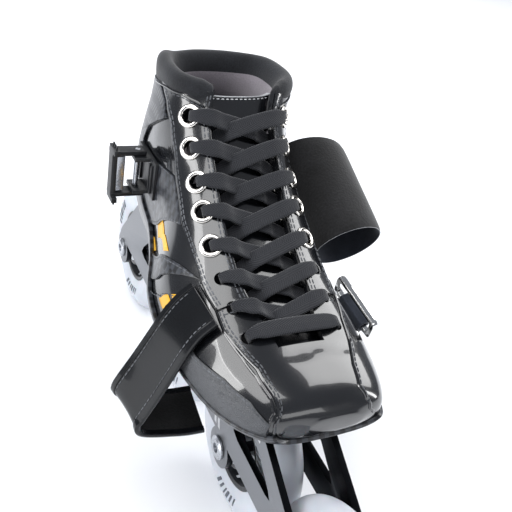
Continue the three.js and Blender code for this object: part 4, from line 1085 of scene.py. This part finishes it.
class SKATE_OT_side_panels(bpy.types.Operator):
    """Lays the carbon-pattern bands, the grained panel, the heel counter and the printed bars"""
    bl_idname = "skate.side_panels"
    bl_label = "Side panels"

    def execute(self, context):
        front = [(11.7, 104), (12.2, 92), (12.6, 90), (13.1, 94), (13.8, 96), (14.42, 91), (14.5, 67), (15.65, 76),
                 (16.5, 91)]
        rows = along(11.7, 14.35, 22) + [14.42, 14.46, 14.5] + along(14.6, 16.5, 16)
        counter = skin_slab("heel_counter_leather", rows,
                            lambda t: along(-through(front, t), -(360 - through(front, t) + 8), 60), OVERLAY + 0.4,
                            0.15)
        round_edges(counter, 0.5, 2, 50)
        settle(counter, "carbon", nodes=["heel_counter"])

        upper_band = skin_patch("carbon_band_upper",
                                mirrored([(12.6, 90), (10.75, 62.5), (8.85, 62.5), (9.72, 92), (10.5, 112),
                                          (11.7, 104)], -1), 1.1, 1.0)
        settle(upper_band, "carbon", nodes=["carbon_brace_lateral"])
        lower_band = skin_patch("carbon_band_lower",
                                mirrored([(9.75, 121), (8.5, 87), (7.75, 68), (7.0, 51), (6.76, 53), (7.1, 68),
                                          (7.68, 84), (8.4, 106), (8.8, 122)], -1), 1.2, 1.1)
        settle(lower_band, "carbon")

        def panel_angles(t):
            return [-a for a in along(through(PANEL_TOP, t), 117, 16)]
        panel = skin_slab("grained_side_panel", along(1.36, 6.4, 40), panel_angles, OVERLAY + 0.2, 0.1)
        round_edges(panel, 0.45, 2, 50)
        settle(panel, "grain", nodes=["side_panel_lateral"])

        bars = [
            [(11.35, 93), (10.95, 89), (10.5, 93), (10.8, 103)],
            [(9.85, 92), (9.62, 88), (9.12, 87), (9.32, 93)],
            [(9.3, 91), (9.06, 86), (8.42, 80.5), (8.6, 87)],
            [(9.75, 106), (9.55, 101), (9.05, 97.5), (9.15, 103)],
            [(7.2, 82), (6.97, 73), (6.72, 72), (6.9, 82)],
            [(7.52, 93), (7.28, 85), (7.0, 84), (7.15, 92)],
        ]
        for i, bar in enumerate(bars, 1):
            piece = skin_patch("printed_bar_%d" % i, mirrored(bar, -1), 0.32, 0.25, 0.1, 2.0)
            settle(piece, "yellow")
        welt("strip_seam", mirrored(STRIP_SEAM, -1), 0.1, 0.7, "patent")
        welt("vamp_seam", mirrored(VAMP_SEAM, -1), 0.1, 0.8, "patent")
        welt("medial_seam", mirrored(MEDIAL_SEAM, 1), 0.0, 0.9, "patent")
        for side, name in ((-1, "lateral"), (1, "medial")):
            welt("collar_seam_low_%s" % name,
                 mirrored([(14.95, 27), (15.5, 36), (16.15, 54), (16.4, 78), (16.45, 100)], side), 1.5, 0.7,
                 "patent")
            welt("row_seam_%s" % name, mirrored([(5.8, 20), (5.82, 30), (5.85, 42)], side), 0.6, 0.7, "patent")
        return {"FINISHED"}


# ------------------------------------------------------------------ collar, lining and tongue
class SKATE_OT_collar(bpy.types.Operator):
    """Pads the collar, lines the heel and lays the insole"""
    bl_idname = "skate.collar"
    bl_label = "Collar"

    def execute(self, context):
        height = context.scene.skate_sizes.pad_height / MM
        profile = [(0.4, -7.5), (1.3, -6), (2.0, -3), (2.1, 0), (1.3, height * 0.6), (-0.4, height),
                   (-2.8, height * 1.1), (-5.2, height * 0.8),
                   (-7.2, height * 0.1), (-8.1, -3), (-8.6, -8), (-8.5, -14), (-7.6, -20), (-6.2, -23.5),
                   (-4.4, -24.2), (-3.0, -22), (-2.9, -12), (-2.8, -2), (-0.6, -1.2), (-0.1, -4)]
        start = angle_at(COLLAR, throat_half(COLLAR)) + 0.8
        angles = along(-start, -(360 - start), 96)
        vertices, rims = [], []
        for a in angles:
            rim = skin_point(COLLAR, a)
            out = skin_out(COLLAR - 0.05, a)
            up = (rim - skin_point(COLLAR - 0.4, a)).normalized()
            rims.append((rim, up, out))
            around = -a
            near_end = min(abs(around - start), abs(360 - start - around))
            full = smooth_step(near_end, 0, 14)
            # Height, middle and spread in degrees of each swell or dip round the rim.
            lift = (2.6 * math.exp(-((around - 112) / 26) ** 2)
                    + 1.2 * math.exp(-((around - 250) / 30) ** 2)
                    - 1.0 * math.exp(-((around - 150) / 18) ** 2))
            drop = lerp(0.55, 1.0, full)
            for o, h in profile:
                rise = h * drop + (lift * full if h > -4 else 0)
                vertices.append(rim + out * (o * lerp(0.6, 1.0, full) * MM) + up * (rise * MM))
        pad = mesh_object("collar_pad", vertices, loft_faces(len(angles), len(profile)))
        face_out(pad)
        apply_modifier(pad, "SUBSURF", levels=1, render_levels=1)
        settle(pad, ["padding", "suede"], angle=60)
        for polygon in pad.data.polygons:
            rim, up, out = min(rims, key=lambda place: (place[0] - polygon.center).length_squared)
            inside = (polygon.center - rim).dot(up) < -5 * MM and (polygon.center - rim).dot(out) < -5.5 * MM
            polygon.material_index = int(inside)

        lining = skin_slab("heel_lining", along(12.4, 16.2, 40), lambda t: along(60, 300, 90), -2.9, lambda t,
                           a: -5.4 - 0.8 * math.sin(min(1.0, (t - 12.4) / 3.8) * math.pi))
        round_edges(lining, 0.6, 2, 50)
        settle(lining, "suede", nodes=["collar_lining"])
        bed = skin_slab("footbed", along(2, 11, 40), lambda t: along(138, 222, 24), -2.9, lambda t,
                        a: -5.4 - 0.7 * abs(math.sin(math.radians(a - 180)) * 2))
        round_edges(bed, 0.8, 3, 50)
        settle(bed, "foam", nodes=["insole"])
        return {"FINISHED"}


TONGUE_DROP = 6.1


def tongue_top(t):
    return lerp(-UPPER_WALL - 0.3, -TONGUE_DROP, smooth_step(t, 3.4, 4.4))


class SKATE_OT_tongue(bpy.types.Operator):
    """Lays the padded tongue under the lace, with its stitched top edge"""
    bl_idname = "skate.tongue"
    bl_label = "Tongue"

    def execute(self, context):
        def half(t):
            return 23.4 * min(1.0, 0.72 + 0.07 * (t - 3))

        def angles(t):
            return [angle_at(t, share * half(t)) for share in along(-1, 1, 36)]

        def top(t, a):
            share = abs(a) / max(angle_at(t, half(t)), 1)
            return tongue_top(t) + 0.25 * math.cos(share * math.pi / 2) - 0.9 * share ** 6

        tongue = skin_slab("tongue_pad", along(3, 16.4, 90), angles, top, lambda t, a: tongue_top(t) - 3.0)
        round_edges(tongue, 0.7, 3, 45)
        settle(tongue, "patent", nodes=["tongue"], angle=40)
        trim = skin_slab("tongue_top_edge", along(16.36, 16.5, 2),
                         lambda t: [angle_at(t, share * 21.5) for share in along(-1, 1, 30)],
                         lambda t, a: tongue_top(t) + 0.6, lambda t, a: tongue_top(t) - 3.1)
        round_edges(trim, 0.35, 2, 50)
        settle(trim, "cut edge")
        return {"FINISHED"}


# ------------------------------------------------------------------ lace and eyelets
LACE_OVER, LACE_UNDER, LACE_MOUTH, LACE_CROSS, LACE_NECK = 4.0, -4.2, -3.2, 1.1, 5.0


def lace_place(row, across, height):
    i = max(0, min(int(math.floor(row - 1)), len(EYELET_ROWS) - 2))
    t = lerp(EYELET_ROWS[i], EYELET_ROWS[i + 1], row - 1 - i)
    return skin(t, angle_at(t, across * eyelet_half(t)), height)


def lace_run(row, side, width):
    middle = LACE_CROSS if side < 0 else -LACE_CROSS
    stops = [(1, -0.5, LACE_NECK), (0.97, LACE_MOUTH, LACE_NECK), (0.85, LACE_UNDER, LACE_NECK + 1),
             (0.43, LACE_UNDER + 0.1, width),
             (0.26, middle - 0.9, width), (0, middle, width), (-0.38, middle + 0.9, width),
             (-0.6, LACE_OVER - 0.6, width),
             (-0.74, LACE_OVER - 0.1, width * 0.94), (-0.87, LACE_OVER, LACE_NECK + 1.6),
             (-0.98, LACE_OVER - 1.6, LACE_NECK + 0.4)]
    made = []
    for across, height, wide in stops:
        rise = min(max((1 - across) / 2, 0), 1)
        made.append((row - rise, side * across, height, wide))
    return made


def lace_strand(side, width):
    bottom = len(EYELET_ROWS)
    stops = [(bottom, side * across, LACE_OVER + rise, wide) for across, rise, wide in
             ((0, -0.6, width), (0.45, -0.5, width), (0.72, -0.2, width * 0.95), (0.87, 0, LACE_NECK + 1.4),
              (0.98, -1.6, LACE_NECK))]
    now = side
    for row in range(bottom, 1, -1):
        stops += lace_run(row, now, width)
        now = -now
    stops += [(1, now * across, height, LACE_NECK) for across,
              height in ((0.99, -0.5), (1.01, LACE_MOUTH + 0.3), (1.07, LACE_UNDER - 0.4), (1.12, LACE_UNDER - 2))]
    return stops


def spline(points, steps):
    """A smooth run through lists of numbers, with an even number of steps between neighbours."""
    out = []
    for i in range(len(points) - 1):
        a, b, c, d = points[max(i - 1, 0)], points[i], points[i + 1], points[min(i + 2, len(points) - 1)]
        for s in range(steps):
            out.append([cubic(a[k], b[k], c[k], d[k], s / steps) for k in range(len(b))])
    out.append(list(points[-1]))
    return out


def ribbon(name, stops, thickness, across=10, edge_bead=0.0):
    """A flat woven band with rounded edges and a UV map in metres: x across from the middle, y along."""
    vertices, uv = [], []
    travelled = 0.0
    for i, (at, wide, width) in enumerate(stops):
        before, after = stops[max(i - 1, 0)][0], stops[min(i + 1, len(stops) - 1)][0]
        run = (after - before).normalized()
        wide = (wide - run * wide.dot(run)).normalized()
        flat = run.cross(wide)
        if i:
            travelled += (at - stops[i - 1][0]).length
        for face_side in (1, -1):
            for k in range(across + 1):
                share = (k / across * 2 - 1) * face_side
                round_off = math.sqrt(max(0.0, 1 - abs(share) ** 8))
                bead = edge_bead * math.exp(-((abs(share) - 0.86) / 0.08) ** 2)
                high = (thickness / 2) * (0.25 + 0.75 * round_off) + bead
                vertices.append(at + wide * (share * width / 2) + flat * (face_side * high))
                uv.append((share * width / 2, travelled))
    piece = mesh_object(name, vertices, loft_faces(len(stops), 2 * (across + 1)), uv)
    face_out(piece, weld=False)
    return piece


class SKATE_OT_lace(bpy.types.Operator):
    """Threads the flat lace through its eight rows of holes"""
    bl_idname = "skate.lace"
    bl_label = "Lace"

    def execute(self, context):
        sizes = context.scene.skate_sizes
        width = sizes.lace_width / MM
        strands = list(reversed(lace_strand(-1, width))) + lace_strand(1, width)[1:]
        stops = []
        for row, across, height, wide in spline(strands, 4):
            at = lace_place(row, across, height)
            up = (lace_place(row - 0.05, across, height) - at).normalized()
            stops.append((at, up, wide * MM))
        piece = ribbon("lace_weave", stops, sizes.lace_thickness, 12, 0.00012)
        settle(piece, "lace", nodes=["lace"], angle=60)
        for node in ("lace_tip_lateral", "lace_tip_medial"):
            tip = bevelled_copy(node + "_cap", node, 0.3, 2)
            settle(tip, "plastic", nodes=[node])
        return {"FINISHED"}


class SKATE_OT_eyelets(bpy.types.Operator):
    """Spins the rolled metal eyelets and sets one in each of the five upper rows"""
    bl_idname = "skate.eyelets"
    bl_label = "Eyelets"

    def execute(self, context):
        sizes = context.scene.skate_sizes
        outer, bore = sizes.eyelet_radius, sizes.eyelet_bore
        calm()
        bpy.ops.mesh.primitive_torus_add(location=(0, 0, 0), major_segments=48, minor_segments=14,
                                         major_radius=(outer + bore) / 2, minor_radius=(outer - bore) / 2)
        pattern = context.object
        bpy.ops.object.mode_set(mode="EDIT")
        bpy.ops.transform.resize(value=(1, 1, 0.62), center_override=(0, 0, 0))
        bpy.ops.object.mode_set(mode="OBJECT")
        # The underside goes down into the hole as the eyelet's barrel.
        barrel = bore + 0.4 * MM
        for v in pattern.data.vertices:
            flat = math.hypot(v.co.x, v.co.y)
            if v.co.z < -0.3 * MM and flat < (outer + bore) / 2:
                narrow = min(barrel / flat, 1)
                v.co = (v.co.x * narrow, v.co.y * narrow, v.co.z - 3.2 * MM)
        for side, name in ((LATERAL, "lateral"), (MEDIAL, "medial")):
            for i in range(METAL_ROWS):
                t, angle = eyelet_place(i, side)
                piece = linked("eyelet_roll_%s_%d" % (name, i + 1), pattern.data.copy())
                piece.data.transform(seat_on_skin(t, angle, OVERLAY + 0.75))
                settle(piece, "nickel", nodes=["eyelet_%s_%d" % (name, i + 1)], angle=60)
        bpy.data.objects.remove(pattern)
        return {"FINISHED"}


class SKATE_OT_stitching(bpy.types.Operator):
    """Sews the seams of the upper"""
    bl_idname = "skate.stitching"
    bl_label = "Stitching"

    def execute(self, context):
        lines = []
        for side in (-1, 1):
            rows = along(5.9, 16.5, 40)
            lines.append(([(t, side * (through(STAY_EDGE, t) - 2.2)) for t in rows], 1.55))
            lines.append(([(t, side * (through(STAY_EDGE, t) - 4.6)) for t in rows], 1.55))
            lines.append(([(t, side * (angle_at(t, throat_half(t)) + 2.6)) for t in rows], 1.55))
            lines.append(([(t, side * (angle_at(t, throat_half(t)) + 5.4)) for t in rows], 1.55))
            lines.append((mirrored([(14.7, 27), (15.3, 37), (15.95, 54), (16.2, 76)], side), 1.6))
            lines.append((mirrored([(5.55, 20), (5.57, 30), (5.6, 40)], side), 0.1))
        lines.append((mirrored([(t, a - 2.4) for t, a in VAMP_SEAM], -1), 0.15))
        lines.append((mirrored([(t, a - 5.0) for t, a in VAMP_SEAM[1:]], -1), 0.15))
        lines.append((mirrored([(t, a + 2.6) for t, a in PANEL_TOP], -1), 1.45))
        lines.append((mirrored([(t, a + 3.0) for t, a in MEDIAL_SEAM], 1), 0.15))
        stitch_row("seam_stitches", lines)
        bands = [
            (mirrored([(12.5, 88), (10.85, 65)], -1), 1.1),
            (mirrored([(8.95, 65), (9.75, 90), (10.5, 109)], -1), 1.1),
            (mirrored([(9.6, 117), (7.1, 54)], -1), 1.2), (mirrored([(6.95, 76), (8.1, 107), (8.7, 118)], -1), 1.2),
        ]
        stitch_row("band_stitches", bands, 2.0, 2.8, 0.28)
        top = [([(16.15, angle_at(16.15, share * 21)) for share in along(-1, 1, 20)], tongue_top(16) + 0.3)]
        stitch_row("tongue_stitches", top, 1.6, 2.6, 0.26, "white thread")
        return {"FINISHED"}


# ------------------------------------------------------------------ straps
def finish_faces(piece, across):
    """Gives a ribbon's outer face, cut edges and inner face their own finishes."""
    count = 2 * (across + 1)
    total = len(piece.data.polygons)
    for polygon in piece.data.polygons:
        k = polygon.index % count
        if polygon.index >= total - 2:
            polygon.material_index = 1
        elif k < across:
            polygon.material_index = 0
        elif k == across or k == count - 1:
            polygon.material_index = 1
        else:
            polygon.material_index = 2


def ankle_stops():
    seat, at_station = 84, 9.3
    out = skin_out(at_station, seat)
    around = (skin_point(at_station, seat + 1.2) - skin_point(at_station, seat - 1.2)).normalized()
    wide = (skin_point(8.2, seat) - skin_point(10.6, seat)).normalized()
    up = (-around + wide * wide.dot(around)).normalized()
    root = skin(at_station, seat, 2.2)
    places = [root + up * (rise * MM) for rise in (-8, -3, 2)]
    centre = root + out * (20 * MM) + up * (8 * MM)
    for degrees in along(180, -138, 15):
        turn = math.radians(degrees)
        places.append(centre + out * (20 * MM * math.cos(turn)) + up * (20 * MM * math.sin(turn)))
    stops = []
    for i, values in enumerate(spline([list(p) for p in places], 5)):
        share = i / 5
        extra = 14 * (1 - smooth_step(share, 0, len(places) * 0.6))
        tilt = extra * 0.04
        at = Vector(values) - wide * (extra / 2 * MM) + out * (tilt * MM)
        stops.append((at, (wide - out * (2 * tilt / 56)).normalized(), (56 + extra) * MM))
    return stops


def forefoot_stops():
    root = skin(6.1, -50, 3.7)
    first, last = Vector((0, -0.966, -0.258)), Vector((0.24, -0.94, -0.24))
    route = [(0, 0), (-7, -6.5), (-13, -16), (-19, -29), (-25, -42), (-30.5, -53), (-33, -58.5), (-33.4, -62.5),
             (-31, -66), (-26, -68.5), (-16, -71), (-5, -73), (6, -73.5)]
    stops = []
    for i, (x, z) in enumerate(spline([list(p) for p in route], 5)):
        at = root + Vector((x * MM, 0, z * MM))
        stops.append((at, first.lerp(last, min(i / 5 / 5, 1)).normalized(), 28 * MM))
    return stops


def beside(stops, offset, width, lift=0.0):
    """The stops of a narrower band that runs beside the middle of another."""
    made = []
    for i, (at, wide, _) in enumerate(stops):
        before, after = stops[max(i - 1, 0)][0], stops[min(i + 1, len(stops) - 1)][0]
        run = (after - before).normalized()
        flat_wide = (wide - run * wide.dot(run)).normalized()
        made.append((at + flat_wide * (offset * MM) + run.cross(flat_wide) * (lift * MM), flat_wide, width * MM))
    return made


def sewn_line(stops, offset, lift, pitch):
    """Evenly spaced places beside a band's middle, for stitches."""
    line = beside(stops, offset, 1, lift)
    places, travelled, wanted = [], 0.0, 4 * MM
    for i in range(len(line) - 1):
        p, q = line[i][0], line[i + 1][0]
        run = (q - p)
        while wanted <= travelled + run.length:
            share = (wanted - travelled) / run.length
            places.append((p.lerp(q, share), run.normalized().cross(line[i][1]) * (1 if lift > 0 else -1)))
            wanted += pitch * MM
        travelled += run.length
    return places


class SKATE_OT_straps(bpy.types.Operator):
    """Cuts the ankle strap and the bound forefoot strap"""
    bl_idname = "skate.straps"
    bl_label = "Straps"

    def execute(self, context):
        thickness = context.scene.skate_sizes.strap_thickness
        ankle = ribbon("ankle_strap_band", ankle_stops(), thickness, 24)
        settle(ankle, ["strap", "cut edge", "loop"], "ankle_strap", ["ankle_strap"], 50)
        finish_faces(ankle, 24)

        stops = forefoot_stops()
        fore = ribbon("forefoot_strap_band", stops, thickness, 14)
        settle(fore, ["strap patent", "loop", "loop"], "forefoot_strap", ["forefoot_strap"], 50)
        finish_faces(fore, 14)
        for side, name in ((-1, "rear"), (1, "front")):
            binding = ribbon("forefoot_binding_%s" % name, beside(stops, side * 12.6, 4.0), thickness * 1.55, 6)
            settle(binding, "strap patent", "forefoot_strap")
        rows = [sewn_line(stops, side * 9.9, thickness / MM / 2 + 0.1, 3.0) for side in (-1, 1)]
        stitch_row("forefoot_stitches", None, 2.2, 3.0, 0.28, "thread", "forefoot_strap", rows)
        return {"FINISHED"}


# ------------------------------------------------------------------ buckle and ring
def buckle_frame():
    out = skin_out(12, -90)
    run = Vector((0, -1, 0))
    run = (run - out * run.dot(out)).normalized()
    wide = out.cross(run)
    turn = Matrix((run, wide, out)).transposed().to_4x4()
    turn.translation = skin(12, -90, 0.6)
    return turn


def local_block(name, size, centre, turn, bevel, inset=0.0):
    """A block shaped in the buckle's own frame: a primitive with its faces inset and its edges broken."""
    calm()
    bpy.ops.mesh.primitive_cube_add(size=1, location=(0, 0, 0))
    piece = bpy.context.object
    piece.name = name
    bpy.ops.object.mode_set(mode="EDIT")
    bpy.ops.transform.resize(value=[s * MM for s in size], center_override=(0, 0, 0))
    bpy.ops.transform.translate(value=[c * MM for c in centre])
    bpy.ops.object.mode_set(mode="OBJECT")
    if inset:
        with reworked(piece) as made:
            top = max(made.faces, key=lambda f: f.calc_center_median().z)
            bmesh.ops.inset_region(made, faces=[top], thickness=inset * MM, depth=-inset * 0.5 * MM)
    round_edges(piece, bevel, 3)
    piece.data.transform(turn)
    return piece


class SKATE_OT_buckle(bpy.types.Operator):
    """Builds the ratchet buckle: its body, forked lever, spring plate and ribs"""
    bl_idname = "skate.buckle"
    bl_label = "Buckle"

    def execute(self, context):
        base = bevelled_copy("buckle_body", "buckle_base", 0.45, 3)
        settle(base, "plastic", nodes=["buckle_base"])
        lever = bevelled_copy("buckle_fork", "buckle_lever", 0.4, 3)
        settle(lever, "plastic", "lever", ["buckle_lever"])
        turn = buckle_frame()
        plate = local_block("buckle_spring_plate", (3.0, 21.0, 5.0), (1.6, 0, 18.0), turn, 0.4, 0.8)
        settle(plate, "steel", "lever")
        for side in (-1, 1):
            for k, x in enumerate((-2.6, 0.4, 3.4)):
                rib = local_block("buckle_grip_%s_%d" % ("low" if side < 0 else "high", k + 1), (1.3, 5.6, 1.0),
                                  (x + 2, side * 15.0, 21.4), turn, 0.3)
                settle(rib, "plastic", "lever")
        for k, x in enumerate((-11, -7.5, 7.5, 11)):
            rib = local_block("buckle_rib_%d" % (k + 1), (1.4, 17.0, 1.6), (x, 0, 2.6), turn, 0.4)
            settle(rib, "plastic")
        refinish("steel", "buckle_pin")
        return {"FINISHED"}


class SKATE_OT_ring(bpy.types.Operator):
    """Polishes the strap ring and breaks the edges of its keeper"""
    bl_idname = "skate.ring"
    bl_label = "Strap ring"

    def execute(self, context):
        ring = bevelled_copy("strap_ring_wire", "strap_ring", 1.0, 4)
        settle(ring, "chrome", "ring", ["strap_ring"])
        keeper = bevelled_copy("ring_keeper_tape", "ring_keeper", 0.3, 2)
        settle(keeper, "strap", nodes=["ring_keeper"])
        return {"FINISHED"}


# ------------------------------------------------------------------ panel and registration
STEPS = ["stage", "wheels", "frame", "upper", "side_panels", "collar", "tongue", "lace", "eyelets", "stitching",
         "straps", "buckle", "ring"]


class SKATE_PT_parts(bpy.types.Panel):
    """Lists the skate's sizes, colours and pieces"""
    bl_idname = "SKATE_PT_parts"
    bl_label = "Inline speed skate"
    bl_space_type = "VIEW_3D"
    bl_region_type = "UI"
    bl_category = "Skate"

    def draw(self, context):
        layout = self.layout
        for group in (context.scene.skate_sizes, context.scene.skate_colours):
            for name in group.bl_rna.properties.keys():
                if name not in ("rna_type", "name"):
                    layout.prop(group, name)
        for step in STEPS:
            layout.operator("skate." + step)


CLASSES = (SkateSizes, SkateColours, SKATE_OT_stage, SKATE_OT_wheels, SKATE_OT_frame, SKATE_OT_upper,
           SKATE_OT_side_panels, SKATE_OT_collar,
           SKATE_OT_tongue, SKATE_OT_lace, SKATE_OT_eyelets, SKATE_OT_stitching, SKATE_OT_straps, SKATE_OT_buckle,
           SKATE_OT_ring, SKATE_PT_parts)


def register():
    for made in CLASSES:
        bpy.utils.register_class(made)
    bpy.types.Scene.skate_sizes = bpy.props.PointerProperty(type=SkateSizes)
    bpy.types.Scene.skate_colours = bpy.props.PointerProperty(type=SkateColours)


def unregister():
    del bpy.types.Scene.skate_colours
    del bpy.types.Scene.skate_sizes
    for made in reversed(CLASSES):
        bpy.utils.unregister_class(made)


def main():
    register()
    make_finishes(bpy.context.scene.skate_colours)
    calm()
    for step in STEPS:
        getattr(bpy.ops.skate, step)()


if __name__ == "__main__":
    main()
